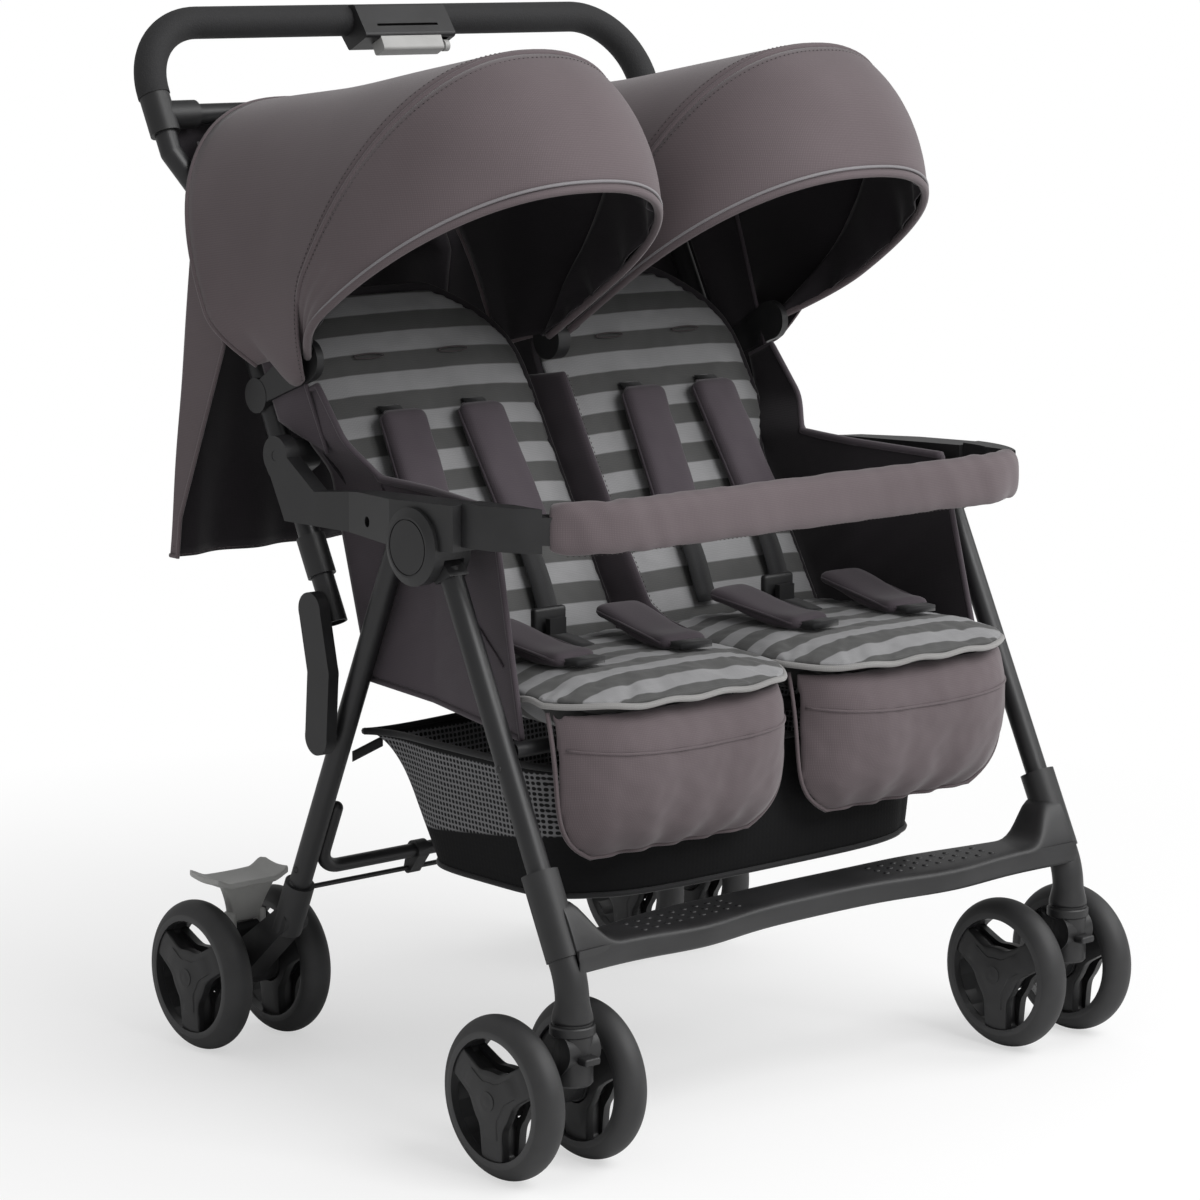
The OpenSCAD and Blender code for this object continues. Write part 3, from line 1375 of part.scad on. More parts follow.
// Webbing from the rear corner to the rear leg, and a loop from the front rim to the seat tube
module basket_rear_strap() {
  z = basket_top_z - tab_w * 2;
  v = (z + tab_w / 2 - basket_low_z) / (basket_top_z - basket_low_z);
  leg_y = armrest_pivot.x + (armrest_pivot.y - z - tab_w / 2) * tan(rear_leg_lean);
  p = basket_ring(45, v, -seat_gap);
  x = half_rear - tube_r - seat_gap;
  translate([0, 0, z]) linear_extrude(tab_w)
    polygon([[p.x, p.y], [p.x + tab_t, p.y - tab_t], [x, leg_y - tab_w / 2], [x, leg_y + tab_w / 2],
        [x - tab_t, leg_y + tab_w / 2]]);
}

module basket_front_loop() {
  y = front_tube_top.x - (front_tube_top.y - seat_bar_z) * tan(front_lean);
  low = basket_top_z - tab_w / 2;
  translate([basket_half * 0.7, y - tab_t / 2, low]) cube([tab_w, tab_t,
      seat_bar_z - seat_bar_r - low - seat_gap]);
}

rear_legs();
leg_knuckles();
rear_cross_tube();
rear_housings();
rear_axles();
seat_pad_left();
seat_pad_right();
side_panels();
seat_divider();
basket();
brake_cable();
lap_belt_left();
lap_belt_right();
armrests();
hub_caps();
front_legs();
front_knuckles();
footrest_bar();
forks();
seat_front_bar();
caster_left();
caster_right();
front_wheel_left_outer();
front_wheel_left_inner();
front_wheel_right_inner();
front_wheel_right_outer();
rear_wheel_left_outer();
rear_wheel_left_inner();
rear_wheel_right_inner();
rear_wheel_right_outer();
handle_tube();
handle_grip();
handle_crossbar();
handle_connectors();
handle_housing();
handle_joints();
canopy_clips();
canopy_rear_left();
canopy_rear_right();
rear_curtain();
seat_back_left();
seat_back_right();
harness_left();
harness_right();
canopy_visor_left();
canopy_visor_right();
legrest_left();
legrest_right();
bumper_bar();
bumper_cover();
bumper_button_left();
bumper_button_right();
fold_trigger();
trigger_lock();
lock_collars();
fold_links();
brake_pedal();
brake_bolts();
buckle_button_left();
buckle_button_right();
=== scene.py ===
import bpy
import math
from mathutils import Matrix, Vector, noise


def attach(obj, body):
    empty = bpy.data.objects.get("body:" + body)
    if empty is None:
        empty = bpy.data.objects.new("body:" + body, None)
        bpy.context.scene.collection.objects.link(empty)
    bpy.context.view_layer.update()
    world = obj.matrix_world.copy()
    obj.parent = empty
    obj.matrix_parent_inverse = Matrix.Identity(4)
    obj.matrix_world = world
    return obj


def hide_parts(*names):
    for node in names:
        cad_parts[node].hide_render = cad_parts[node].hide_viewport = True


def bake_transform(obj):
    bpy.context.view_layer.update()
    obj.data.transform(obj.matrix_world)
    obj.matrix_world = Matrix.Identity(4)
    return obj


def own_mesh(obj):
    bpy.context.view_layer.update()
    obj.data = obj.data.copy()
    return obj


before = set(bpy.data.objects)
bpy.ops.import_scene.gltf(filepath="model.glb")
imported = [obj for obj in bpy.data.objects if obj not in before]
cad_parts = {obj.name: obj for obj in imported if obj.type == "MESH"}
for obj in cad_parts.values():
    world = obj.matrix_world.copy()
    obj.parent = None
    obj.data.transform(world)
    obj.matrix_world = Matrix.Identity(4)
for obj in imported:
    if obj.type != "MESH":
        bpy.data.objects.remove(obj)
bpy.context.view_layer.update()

# Camera: a long lens at the height of the handle, to the front and to the child's right.
bpy.ops.object.camera_add(location=(-2.4778, -2.8407, 1.0863),
                          rotation=(math.radians(80.3415), 0, math.radians(-40.963)))
camera = bpy.context.object
camera.data.lens = 116.02
camera.data.sensor_width = 36
camera.data.clip_end = 60
bpy.context.scene.camera = camera
bpy.context.scene.view_settings.view_transform = "Standard"


# Short forms for finishes made of nodes.
def feed(tree, node, inputs):
    """Give a node's inputs their values, or link them to another node's result."""
    for key, value in inputs.items():
        if isinstance(value, bpy.types.NodeSocket):
            tree.links.new(value, node.inputs[key])
        else:
            node.inputs[key].default_value = value


def set_all(thing, settings):
    for key, value in settings.items():
        setattr(thing, key, value)


def add_node(tree, kind, inputs=None, **props):
    made = tree.nodes.new(kind)
    set_all(made, props)
    feed(tree, made, inputs or {})
    return made


def new_finish(name):
    """A new finish with its node tree, its shader and the place on the object that textures read."""
    finish = bpy.data.materials.new(name)
    finish.use_nodes = True
    tree = finish.node_tree
    return finish, tree, tree.nodes["Principled BSDF"], add_node(tree, "ShaderNodeTexCoord").outputs["Object"]


def calc(tree, operation, *values):
    return add_node(tree, "ShaderNodeMath", dict(enumerate(values)), operation=operation).outputs[0]


def vector(tree, operation, *values, **named):
    return add_node(tree, "ShaderNodeVectorMath", {**dict(enumerate(values)), **named}, operation=operation).outputs


def spread(tree, value, low, high, start=0.0, end=1.0):
    """A value in start to end brought to low to high, and held at the ends."""
    return add_node(tree, "ShaderNodeMapRange", {"Value": value, "From Min": start, "From Max": end,
                                                 "To Min": low, "To Max": high}).outputs[0]


def speckle(tree, where, scale, detail):
    return add_node(tree, "ShaderNodeTexNoise", {"Vector": where, "Scale": scale, "Detail": detail}).outputs["Fac"]


def cells(tree, where, scale):
    return add_node(tree, "ShaderNodeTexVoronoi", {"Vector": where, "Scale": scale}).outputs["Distance"]


def two_tone(tree, share, dark, light, low=0.0, high=1.0):
    """A colour from dark to light as share goes from low to high."""
    ramp = add_node(tree, "ShaderNodeValToRGB", {"Fac": share})
    for stop, place, colour in zip(ramp.color_ramp.elements, (low, high), (dark, light)):
        stop.position = place
        stop.color = (*colour, 1)
    return ramp.outputs[0]


def blend_tones(tree, share, first, second):
    return add_node(tree, "ShaderNodeMix", {"Factor": share, 6: first, 7: second}, data_type="RGBA").outputs[2]


def raise_grain(tree, shader, height, strength, distance):
    bump = add_node(tree, "ShaderNodeBump", {"Height": height, "Strength": strength, "Distance": distance})
    feed(tree, shader, {"Normal": bump.outputs[0]})


def deselect():
    bpy.ops.object.select_all(action="DESELECT")


def pick(piece):
    """Make a piece the only one that operators work on."""
    deselect()
    piece.select_set(True)
    bpy.context.view_layer.objects.active = piece


# Studio: a wide matte white floor, a soft white surround and two large soft boxes.
# Plain level: a colour comes out about as it is written.
deselect()
bpy.ops.mesh.primitive_plane_add(size=60)
floor = bpy.context.object
floor.name = "studio_floor"
floor_white, tree, shader, where = new_finish("floor_white")
feed(tree, shader, {"Base Color": (0.93, 0.93, 0.93, 1), "Roughness": 0.9, "Specular IOR Level": 0.1})
far = spread(tree, vector(tree, "LENGTH", where)["Value"], 0.55, 1.0, 0.35, 1.5)
fade = calc(tree, "MULTIPLY", far, add_node(tree, "ShaderNodeLightPath").outputs["Is Camera Ray"])
glow = add_node(tree, "ShaderNodeEmission", {"Color": (1, 1, 1, 1)})
faded = add_node(tree, "ShaderNodeMixShader", {0: fade, 1: shader.outputs[0], 2: glow.outputs[0]})
feed(tree, tree.nodes["Material Output"], {"Surface": faded.outputs[0]})
floor.data.materials.append(floor_white)
world = bpy.data.worlds.new("studio_white")
bpy.context.scene.world = world
world.use_nodes = True
tree = world.node_tree
seen = add_node(tree, "ShaderNodeLightPath").outputs["Is Camera Ray"]
feed(tree, tree.nodes["Background"], {"Strength": spread(tree, seen, 0.5, 1.0), "Color": (1, 1, 1, 1)})
soft_boxes = (("key_box", (0.5, -2.9, 3.0), 2.2, 105), ("side_box", (2.6, -1.4, 2.4), 1.8, 38))
for name, place, size, watts in soft_boxes:
    bpy.ops.object.light_add(type="AREA", location=place)
    lamp = bpy.context.object
    lamp.name = name
    lamp.data.size = size
    lamp.data.energy = watts
    lamp.rotation_euler = (Vector((0, 0, 0.5)) - Vector(place)).to_track_quat("-Z", "Y").to_euler()


# Frame tubes: round steel tube, bent and pierced, then powder painted in satin charcoal.
# The paint has a faint orange peel and a little dust in its colour.
def painted_tube_finish():
    finish, tree, shader, where = new_finish("charcoal_paint")
    dust = speckle(tree, where, 14.0, 4.0)
    tone = two_tone(tree, dust, (0.009, 0.009, 0.010), (0.017, 0.017, 0.018))
    feed(tree, shader, {"Base Color": tone, "Roughness": spread(tree, dust, 0.34, 0.5), "Metallic": 0.1})
    raise_grain(tree, shader, speckle(tree, where, 900.0, 2.0), 0.12, 0.0004)
    return finish


def dress(finish, *names):
    for name in names:
        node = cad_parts[name]
        node.data.materials.clear()
        node.data.materials.append(finish)


charcoal_paint = painted_tube_finish()
dress(charcoal_paint, "rear_legs", "rear_cross_tube", "front_legs", "seat_front_bar", "handle_tube", "handle_crossbar")


# Moulded joints, armrests and footrest: black nylon with a fine spark-eroded grain.
def grained_plastic(name, dark, light, rough):
    finish, tree, shader, where = new_finish(name)
    cloud = speckle(tree, where, 22.0, 5.0)
    feed(tree, shader, {"Base Color": two_tone(tree, cloud, dark, light, 0.35, 0.7),
                        "Roughness": spread(tree, cloud, rough - 0.06, rough + 0.08)})
    raise_grain(tree, shader, cells(tree, where, 1500.0), 0.18, 0.0003)
    return finish


black_nylon = grained_plastic("black_nylon", (0.009, 0.009, 0.0095), (0.016, 0.016, 0.017), 0.48)
dress(black_nylon, "leg_knuckles", "rear_housings", "armrests", "hub_caps", "front_knuckles", "footrest_bar", "forks",
      "caster_left", "caster_right", "handle_connectors", "handle_housing", "handle_joints", "canopy_clips",
      "bumper_bar", "bumper_button_left", "bumper_button_right", "lock_collars", "fold_links", "brake_cable",
      "rear_axles", "buckle_button_left", "buckle_button_right")
grey_nylon = grained_plastic("grey_nylon", (0.33, 0.33, 0.32), (0.40, 0.40, 0.39), 0.42)
dress(grey_nylon, "fold_trigger", "trigger_lock", "brake_pedal")


# Foam grip: closed cell foam slid over the handle bend, matte black with fine pores.
def foam_finish():
    finish, tree, shader, where = new_finish("black_foam")
    pores = cells(tree, where, 700.0)
    # The colour is darker at the bottom of each pore, where the bump is lowest: painted shade in the pores.
    tone = two_tone(tree, pores, (0.010, 0.010, 0.011), (0.019, 0.019, 0.020))
    feed(tree, shader, {"Base Color": tone, "Roughness": 0.82})
    raise_grain(tree, shader, pores, 0.35, 0.0006)
    return finish


dress(foam_finish(), "handle_grip")


# Brake bolts: plain turned steel.
def steel_finish():
    finish, tree, shader, where = new_finish("turned_steel")
    lines = speckle(tree, where, 300.0, 3.0)
    tone = two_tone(tree, lines, (0.30, 0.30, 0.31), (0.42, 0.42, 0.43))
    feed(tree, shader, {"Base Color": tone, "Metallic": 1.0, "Roughness": 0.32})
    return finish


dress(steel_finish(), "brake_bolts")


# Wheels: a black hub with three spokes and a smooth foamed tyre moulded on to its rim.
# The tyre starts at the rim, so the finish changes with the distance from the axle.
def wheel_finish(name, axle_y):
    finish, tree, shader, where = new_finish(name)
    from_axle = vector(tree, "SUBTRACT", where, (0, axle_y, 0.075))[0]
    reach = vector(tree, "LENGTH", vector(tree, "MULTIPLY", from_axle, (0, 1, 1))[0])["Value"]
    rubber = spread(tree, reach, 0.0, 1.0, 0.0615, 0.0625)
    tone = blend_tones(tree, rubber, (0.022, 0.022, 0.023, 1), (0.012, 0.012, 0.0125, 1))
    worn = blend_tones(tree, speckle(tree, where, 40.0, 4.0), tone, (0.030, 0.030, 0.031, 1))
    feed(tree, shader, {"Base Color": worn, "Roughness": spread(tree, rubber, 0.40, 0.58)})
    raise_grain(tree, shader, cells(tree, where, 1200.0), 0.15, 0.0003)
    return finish


front_axle_y, rear_axle_y = -0.28542, 0.23258
for end, axle_y in (("front", front_axle_y), ("rear", rear_axle_y)):
    wheels = [f"{end}_wheel_{side}_{place}" for side in ("left", "right") for place in ("inner", "outer")]
    dress(wheel_finish(end + "_wheel_black", axle_y), *wheels)


# Short forms for places and shapes.
def mix(a, b, t):
    return a + (b - a) * t


def smooth(t):
    t = min(1.0, max(0.0, t))
    return t * t * (3 - 2 * t)


# Places of the drawing, in mm: the start of the frame, the wheels, a seat's middle, and the handle's foot and lean.
row_y, wheel_r = 285.421, 75
front_half, rear_half, rear_axle, pair_step = 324, 286, 518, 48
seat_mid = 149.2
handle_y, handle_z = 352, 387
lean = math.radians(27)


def at(x, y, z):
    """A place in mm from the front axle, as the drawing gives it, in metres in the frame."""
    return Vector((x / 1000, (y - row_y) / 1000, (z + wheel_r) / 1000))


def blunt(value, power):
    """A cosine or sine raised to a power with its sign kept, for rounded squares."""
    return math.copysign(abs(value) ** power, value)


def steps(count):
    """Shares from 0 to 1 in equal steps."""
    return [i / count for i in range(count + 1)]


def turns(count):
    """Equal angles once round."""
    return [2 * math.pi * k / count for k in range(count)]


# Cloth: plain weave polyester, taupe or plum outside, with a lining of the same weave dyed dark plum.
# All have a faint sheen and uneven dye.
def weave(tree, where, pitch=0.0016):
    """Threads that cross in the plane of the cloth, whichever way the cloth faces."""
    facing = add_node(tree, "ShaderNodeTexCoord").outputs["Normal"]
    square = vector(tree, "MULTIPLY", facing, facing)[0]
    share = add_node(tree, "ShaderNodeSeparateXYZ", {"Vector": square})
    thread = {"Vector": where, "Scale": 0.314 / pitch, "Distortion": 0.8, "Detail": 1.0}
    threads = [add_node(tree, "ShaderNodeTexWave", thread, bands_direction=run).outputs["Fac"] for run in "XYZ"]
    layers = [calc(tree, "MULTIPLY", calc(tree, "MULTIPLY", threads[k - 1], threads[k - 2]), share.outputs[k])
              for k in range(3)]
    return calc(tree, "ADD", calc(tree, "ADD", layers[0], layers[1]), layers[2])


def finish_cloth(tree, shader, where, colour, rough):
    crossed = weave(tree, where)
    # The colour is lighter where the threads cross on top and darker between them, following the bump: painted light
    # and shade of the thread relief.
    toned = vector(tree, "SCALE", colour, Scale=spread(tree, crossed, 0.84, 1.1))
    feed(tree, shader, {"Base Color": toned[0], "Roughness": rough, "Sheen Weight": 0.18, "Sheen Roughness": 0.45,
                        "Specular IOR Level": 0.25})
    raise_grain(tree, shader, calc(tree, "ADD", crossed, speckle(tree, where, 260.0, 3.0)), 0.22, 0.0004)


def woven_cloth(name, dark, light, rough=0.84):
    finish, tree, shader, where = new_finish(name)
    tone = two_tone(tree, speckle(tree, where, 8.0, 6.0), dark, light, 0.3, 0.75)
    finish_cloth(tree, shader, where, tone, rough)
    return finish


taupe_cloth = woven_cloth("taupe_cloth", (0.110, 0.088, 0.094), (0.130, 0.105, 0.112))
plum_lining = woven_cloth("plum_lining", (0.015, 0.0125, 0.015), (0.024, 0.020, 0.024))
pale_piping = woven_cloth("pale_piping", (0.20, 0.19, 0.20), (0.25, 0.24, 0.25))
plum_cloth = woven_cloth("plum_cloth", (0.060, 0.049, 0.058), (0.075, 0.062, 0.072))
taupe_thread = woven_cloth("taupe_thread", (0.055, 0.046, 0.048), (0.070, 0.060, 0.062))


def add_piece(name, spots, faces, *finishes, closed=False):
    mesh = bpy.data.meshes.new(name)
    mesh.from_pydata([tuple(p) for p in spots], [], faces)
    piece = bpy.data.objects.new(name, mesh)
    bpy.context.scene.collection.objects.link(piece)
    for finish in finishes:
        mesh.materials.append(finish)
    pick(piece)
    bpy.ops.object.mode_set(mode="EDIT")
    bpy.ops.mesh.select_all(action="SELECT")
    bpy.ops.mesh.remove_doubles(threshold=0.00002)
    if closed:
        bpy.ops.mesh.normals_make_consistent(inside=False)
    bpy.ops.object.mode_set(mode="OBJECT")
    bpy.ops.object.shade_smooth()
    return piece


def cut_sheet(name, spot, cols, rows, inside, *finishes):
    """A sheet of cloth over spot(u, v); inside is a place on its lining's side."""
    spots = [spot(i / cols, j / rows) for j in range(rows + 1) for i in range(cols + 1)]
    wide = cols + 1
    faces = [(j * wide + i, j * wide + i + 1, (j + 1) * wide + i + 1, (j + 1) * wide + i)
             for j in range(rows) for i in range(cols)]
    piece = add_piece(name, spots, faces, *finishes)
    middle = piece.data.polygons[len(piece.data.polygons) // 2 + cols // 2]
    if (middle.center - inside).dot(middle.normal) < 0:
        piece.data.flip_normals()
    return piece


def use_modifier(piece, kind, **settings):
    pick(piece)
    set_all(piece.modifiers.new("shape", kind), settings)
    bpy.ops.object.modifier_apply(modifier="shape")


def subdivide(piece):
    use_modifier(piece, "SUBSURF", levels=1, render_levels=1)


def line_sheet(piece, thick=0.002):
    """The cut sheet's area, then its thickness, with the lining on the inner side."""
    area = sum(face.area for face in piece.data.polygons)
    use_modifier(piece, "SOLIDIFY", thickness=thick, offset=-1.0, material_offset=1, use_even_offset=True)
    return area


def cut(wide, area, held="stretched", **more):
    """What a sheet states: its flat cut, whose length leaves a tenth as waste, how it is held, and its area."""
    return {"flat": (wide, area / (0.9 * wide)), "held": held, "area": area, **more}


def loft(name, rings, *finishes, closed=False):
    count = len(rings[0])
    spots = [p for ring in rings for p in ring]
    pairs = [(i, (i + 1) % len(rings)) for i in range(len(rings) if closed else len(rings) - 1)]
    faces = [(a * count + j, a * count + (j + 1) % count, b * count + (j + 1) % count, b * count + j)
             for a, b in pairs for j in range(count)]
    if not closed:
        faces += [tuple(range(count)), tuple(range(len(spots) - count, len(spots)))]
    return add_piece(name, spots, faces, *finishes, closed=True)


def roll(name, path, radius, *finishes, sides=8, closed=False):
    """A round cord, piping or binding along a path; radius is a length or a function of the share along it."""
    rings, across = [], None
    for i, spot in enumerate(path):
        ahead = path[(i + 1) % len(path)] if closed or i + 1 < len(path) else spot
        behind = path[i - 1] if closed or i else spot
        along = (ahead - behind).normalized()
        across = along.orthogonal().normalized() if across is None else across
        across = (across - along * across.dot(along)).normalized()
        up = along.cross(across)
        r = radius(i / (len(path) - 1)) if callable(radius) else radius
        rings.append([spot + (across * math.cos(a) + up * math.sin(a)) * r for a in turns(sides)])
    return loft(name, rings, *finishes, closed=closed)


def stitches(name, path, finish, length=0.0034, gap=0.0018, thick=0.00055):
    """A row of short thread stitches that follows a path on the cloth."""
    spots, faces, start = [], [], 0.0
    lengths = [(path[i + 1] - path[i]).length for i in range(len(path) - 1)]
    total = sum(lengths)

    def along(distance):
        for i, step in enumerate(lengths):
            if distance <= step or i == len(lengths) - 1:
                return path[i].lerp(path[i + 1], min(1.0, distance / max(step, 1e-9)))
            distance -= step

    while start + length < total:
        a, b = along(start), along(start + length)
        run = (b - a).normalized()
        side = run.orthogonal().normalized() * thick
        up = run.cross(side).normalized() * thick
        middle = (a + b) / 2
        k = len(spots)
        spots += [a, middle + side, middle + up, middle - side, middle - up, b]
        faces += [(k, k + 1 + i, k + 1 + (i + 1) % 4) for i in range(4)]
        faces += [(k + 5, k + 1 + (i + 1) % 4, k + 1 + i) for i in range(4)]
        start += length + gap
    return add_piece(name, spots, faces, finish, closed=True)


def mirrored(piece, name):
    twin = piece.copy()
    twin.data = piece.data.copy()
    twin.name = name
    bpy.context.scene.collection.objects.link(twin)
    twin.data.transform(Matrix.Scale(-1, 4, (1, 0, 0)))
    twin.data.flip_normals()
    return twin


def fit(piece, slot, body, stands_for="", squash=None, fill=None, cloth=None):
    """Hide the node a piece replaces and attach the piece to the body it rides; with a squash it gets a mesh of its
    own. slot, fill and cloth are not used.
    """
    if stands_for:
        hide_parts(stands_for)
    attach(piece, body)
    if squash:
        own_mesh(piece)


def both_sides(piece):
    """The piece for the left side and its mirror image for the right one, as (side, piece) pairs."""
    return ("left", piece), ("right", mirrored(piece, piece.name.replace("left", "right")))


def fit_pair(piece, slot, body, stands_for="", **more):
    """Mirror a left piece and fit both; {} in the name of a body or a node is the side."""
    for side, made in both_sides(piece):
        fit(made, slot, body.format(side), stands_for.format(side), **more)


# Canopy visors: one curved sheet over a front and a middle bow, sewn to a gathered lining.
# A bound edge with a pale piping runs round the front; the visor turns on the canopy clips.
canopy_x, canopy_y, canopy_z = 178, 372, 622
clip_start, middle_reach, upright_share = 8, 346, 0.3


def arch(t):
    leg = 0.15
    if t < leg:
        return 0.0, t / leg
    if t > 1 - leg:
        return math.pi, (1 - t) / leg
    return math.pi * (t - leg) / (1 - 2 * leg), 1.0


def lame(v):
    return max(0.0, v) ** (2 / 2.3)


def arch_x(t, inset):
    turn, climb = arch(t)
    ease = math.sin(math.pi / 2 * climb)
    if math.cos(turn) >= 0:
        side, wide = -1, canopy_x - mix(8, 7, ease) - inset
    else:
        side, wide = 1, mix(309, 349, ease) - canopy_x - inset
    return canopy_x + side * wide * lame(abs(math.cos(turn)))


def arch_rise(t, straight, reach):
    turn, climb = arch(t)
    return climb * straight + (reach - straight) * lame(math.sin(turn))


def visor_spot(t, v, inset=0.0):
    angle = math.radians(mix(32.5, 56.5, v))
    reach = mix(316, middle_reach, v) + 48 * v * (1 - v) - inset
    rise = clip_start + arch_rise(t, reach * upright_share, reach - clip_start)
    return at(arch_x(t, inset), canopy_y - rise * math.cos(angle), canopy_z + rise * math.sin(angle))


def slack(spot, size, grain):
    """Small uneven slackness of cloth, in metres."""
    return noise.noise(spot * grain) * size


def visor_cloth_spot(t, v):
    spot = visor_spot(t, v)
    low = max(0.0, abs(2 * t - 1) - 0.55) / 0.45
    tuck = math.sin(v * math.pi) * low * (0.6 + math.sin(v * 21.0) * 0.5)
    middle = at(canopy_x, canopy_y, canopy_z)
    return spot + (middle - spot).normalized() * (0.004 * tuck + slack(spot, 0.0016, 9.0))


def lining_spot(t, v):
    gather = math.sin(2 * math.pi * 15 * t) * (1 - v) * 2.6 + math.sin(2 * math.pi * 6 * t + 4 * v) * 2.0
    return visor_spot(t, mix(0.015, 1.0, v), 8.5 + gather)


canopy_inside = at(canopy_x, 260, 700)
edge_steps = steps(90)
visor = cut_sheet("canopy_visor_cloth_left", visor_cloth_spot, 84, 18, canopy_inside, taupe_cloth, plum_lining)
visor_area = line_sheet(visor)
lining = cut_sheet("canopy_visor_lining_left", lining_spot, 120, 14, canopy_inside, plum_lining, plum_lining)
lining.data.flip_normals()
lining_area = line_sheet(lining, 0.0012)
binding = roll("canopy_binding_left", [visor_spot(t, 0.0, 2.0) for t in edge_steps], 0.0042, taupe_cloth)
piping = roll("canopy_piping_left", [visor_spot(t, 0.034, -0.6) for t in edge_steps], 0.0015, pale_piping, sides=6)
seam_roll = roll("canopy_seam_left", [visor_spot(t, 1.02, 1.5) for t in edge_steps], 0.0034, taupe_cloth)
seam_stitch = stitches("canopy_stitch_left", [visor_spot(t, 0.955, -0.2) for t in edge_steps], taupe_thread)
fit_pair(visor, "outer_cloth", "canopy_{}", "canopy_visor_{}", cloth=cut(1.02, visor_area))
fit_pair(lining, "dark_cloth", "canopy_{}", cloth=cut(1.04, lining_area, "gathered"))
for part in (binding, piping, seam_roll, seam_stitch):
    fit_pair(part, "outer_cloth", "canopy_{}")


# Canopy rear covers: a lined sheet from the middle bow back to the handle and its cross tube.
# It is sewn to the visor along the bow, and a hem closes it in front of the handle.
def on_handle(x, off, reach):
    """A place by its reach up the handle tube and its distance in front of the tube."""
    return at(x, handle_y + reach * math.sin(lean) - off * math.cos(lean),
              handle_z + reach * math.cos(lean) + off * math.sin(lean))


def cover_spot(t, v, inset=0.0):
    seam = math.radians(57.7)
    bow_reach = middle_reach - inset
    rise = clip_start + arch_rise(t, bow_reach * upright_share, bow_reach - clip_start)
    bow = at(arch_x(t, inset), canopy_y - rise * math.cos(seam), canopy_z + rise * math.sin(seam))
    reach = 242.3 + arch_rise(t, 60, 277.5 - inset)
    spot = bow.lerp(on_handle(arch_x(t, inset), 19, reach), v)
    sag = math.sin(math.pi * v) * (0.004 + slack(spot, 0.003, 7.0))
    spot.z -= 0.030 * smooth((t - 0.86) / 0.14) * math.sin(math.pi * min(1.0, 0.25 + v) ** 0.8)
    return spot + (at(canopy_x, 430, 680) - spot).normalized() * sag


cover_inside = at(canopy_x, 440, 720)
cover = cut_sheet("canopy_rear_cloth_left", cover_spot, 84, 20, cover_inside, taupe_cloth, plum_lining)
cover_area = line_sheet(cover)
cover_stitch = stitches("canopy_rear_stitch_left", [cover_spot(t, 0.035, -0.4) for t in edge_steps], taupe_thread)
cover_hem = roll("canopy_rear_hem_left", [cover_spot(t, 1.0, 1.0) for t in edge_steps], 0.0028, taupe_cloth)
for side, piece in both_sides(cover):
    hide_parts("canopy_rear_" + side)
    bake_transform(piece)
for side, piece in both_sides(cover_stitch):
    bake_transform(piece)
fit_pair(cover_hem, "outer_cloth", "handle")


# Rear curtains: hung from the handle cross tube behind each seat, with a side flap in front of the handle.
# The flap is slit up to the clip; the outside is taupe and the inside is lined dark.
curtain_y, flap_y = 574, 476
curtain_low, flap_bend, flap_top, curtain_top = 412, 630, 735, 845


def curtain_edge(z):
    return curtain_y - 0.148 * (z - curtain_low)


def flap_front(z):
    if z > flap_bend:
        return mix(flap_y, curtain_edge(flap_top), (z - flap_bend) / (flap_top - flap_bend))
    return mix(curtain_y, flap_y, (z - curtain_low) / (flap_bend - curtain_low))


def curtain_spot(u, v):
    column = 16 * u
    w, flap = min(1.0, column / 12), max(0.0, (column - 12) / 4)
    outer = max(0.0, 12 * w - 10)
    middle_dip = 60 * max(0.0, 1 - column / 0.8)
    z = mix(mix(curtain_top, flap_top, outer * outer / 4) - middle_dip, curtain_low, v)
    tube = handle_y + (z - handle_z) * math.tan(lean) + 18 + 5 * min(1.0, outer)
    inner = max(curtain_edge(z), tube) + 5 * math.sin(8 * math.pi * w) * v + 1.5
    inner += 14 * smooth(w / 0.15) * smooth((0.86 - w) / 0.2) * smooth((z - 430) / 90) * smooth((680 - z) / 90)
    y = mix(inner, curtain_edge(z) + 1.5, outer - 1) if outer > 1 else inner
    spot = at(mix(0.0, 323.5, w), mix(y, min(y - 14, flap_front(z)), flap), z)
    return spot + Vector((0, 1, 0)) * slack(spot, 0.004, 9.0) * v * (1 - flap)


curtain = cut_sheet("rear_curtain_cloth_left", curtain_spot, 96, 40, at(150, 380, 600), taupe_cloth, plum_lining)
curtain_area = line_sheet(curtain)
hem_steps = steps(80)
hem = roll("rear_curtain_hem_left", [curtain_spot(u, 0.995) for u in hem_steps], 0.0022, taupe_cloth, sides=6)
flap_hem = roll("rear_curtain_flap_hem_left", [curtain_spot(0.998, v) for v in hem_steps], 0.0020, taupe_cloth, sides=6)
hem_stitch = stitches("rear_curtain_stitch_left", [curtain_spot(u, 0.965) + Vector((0, 0.0008, 0)) for u in hem_steps],
                      taupe_thread)
fit_pair(curtain, "outer_cloth", "handle", "rear_curtain",
         cloth=cut(0.46, curtain_area, "hung", rests_on=["handle_crossbar"]))
for part in (hem, flap_hem, hem_stitch):
    fit_pair(part, "outer_cloth", "handle")


# Seat pads: a striped quilted cushion on the seat sling, with a thin rounded lip over the leg rest.
# Two greys are woven in bands across the seat; a pale binding closes the edge of the lip.
light_band, dark_band = (0.270, 0.270, 0.275), (0.080, 0.080, 0.079)


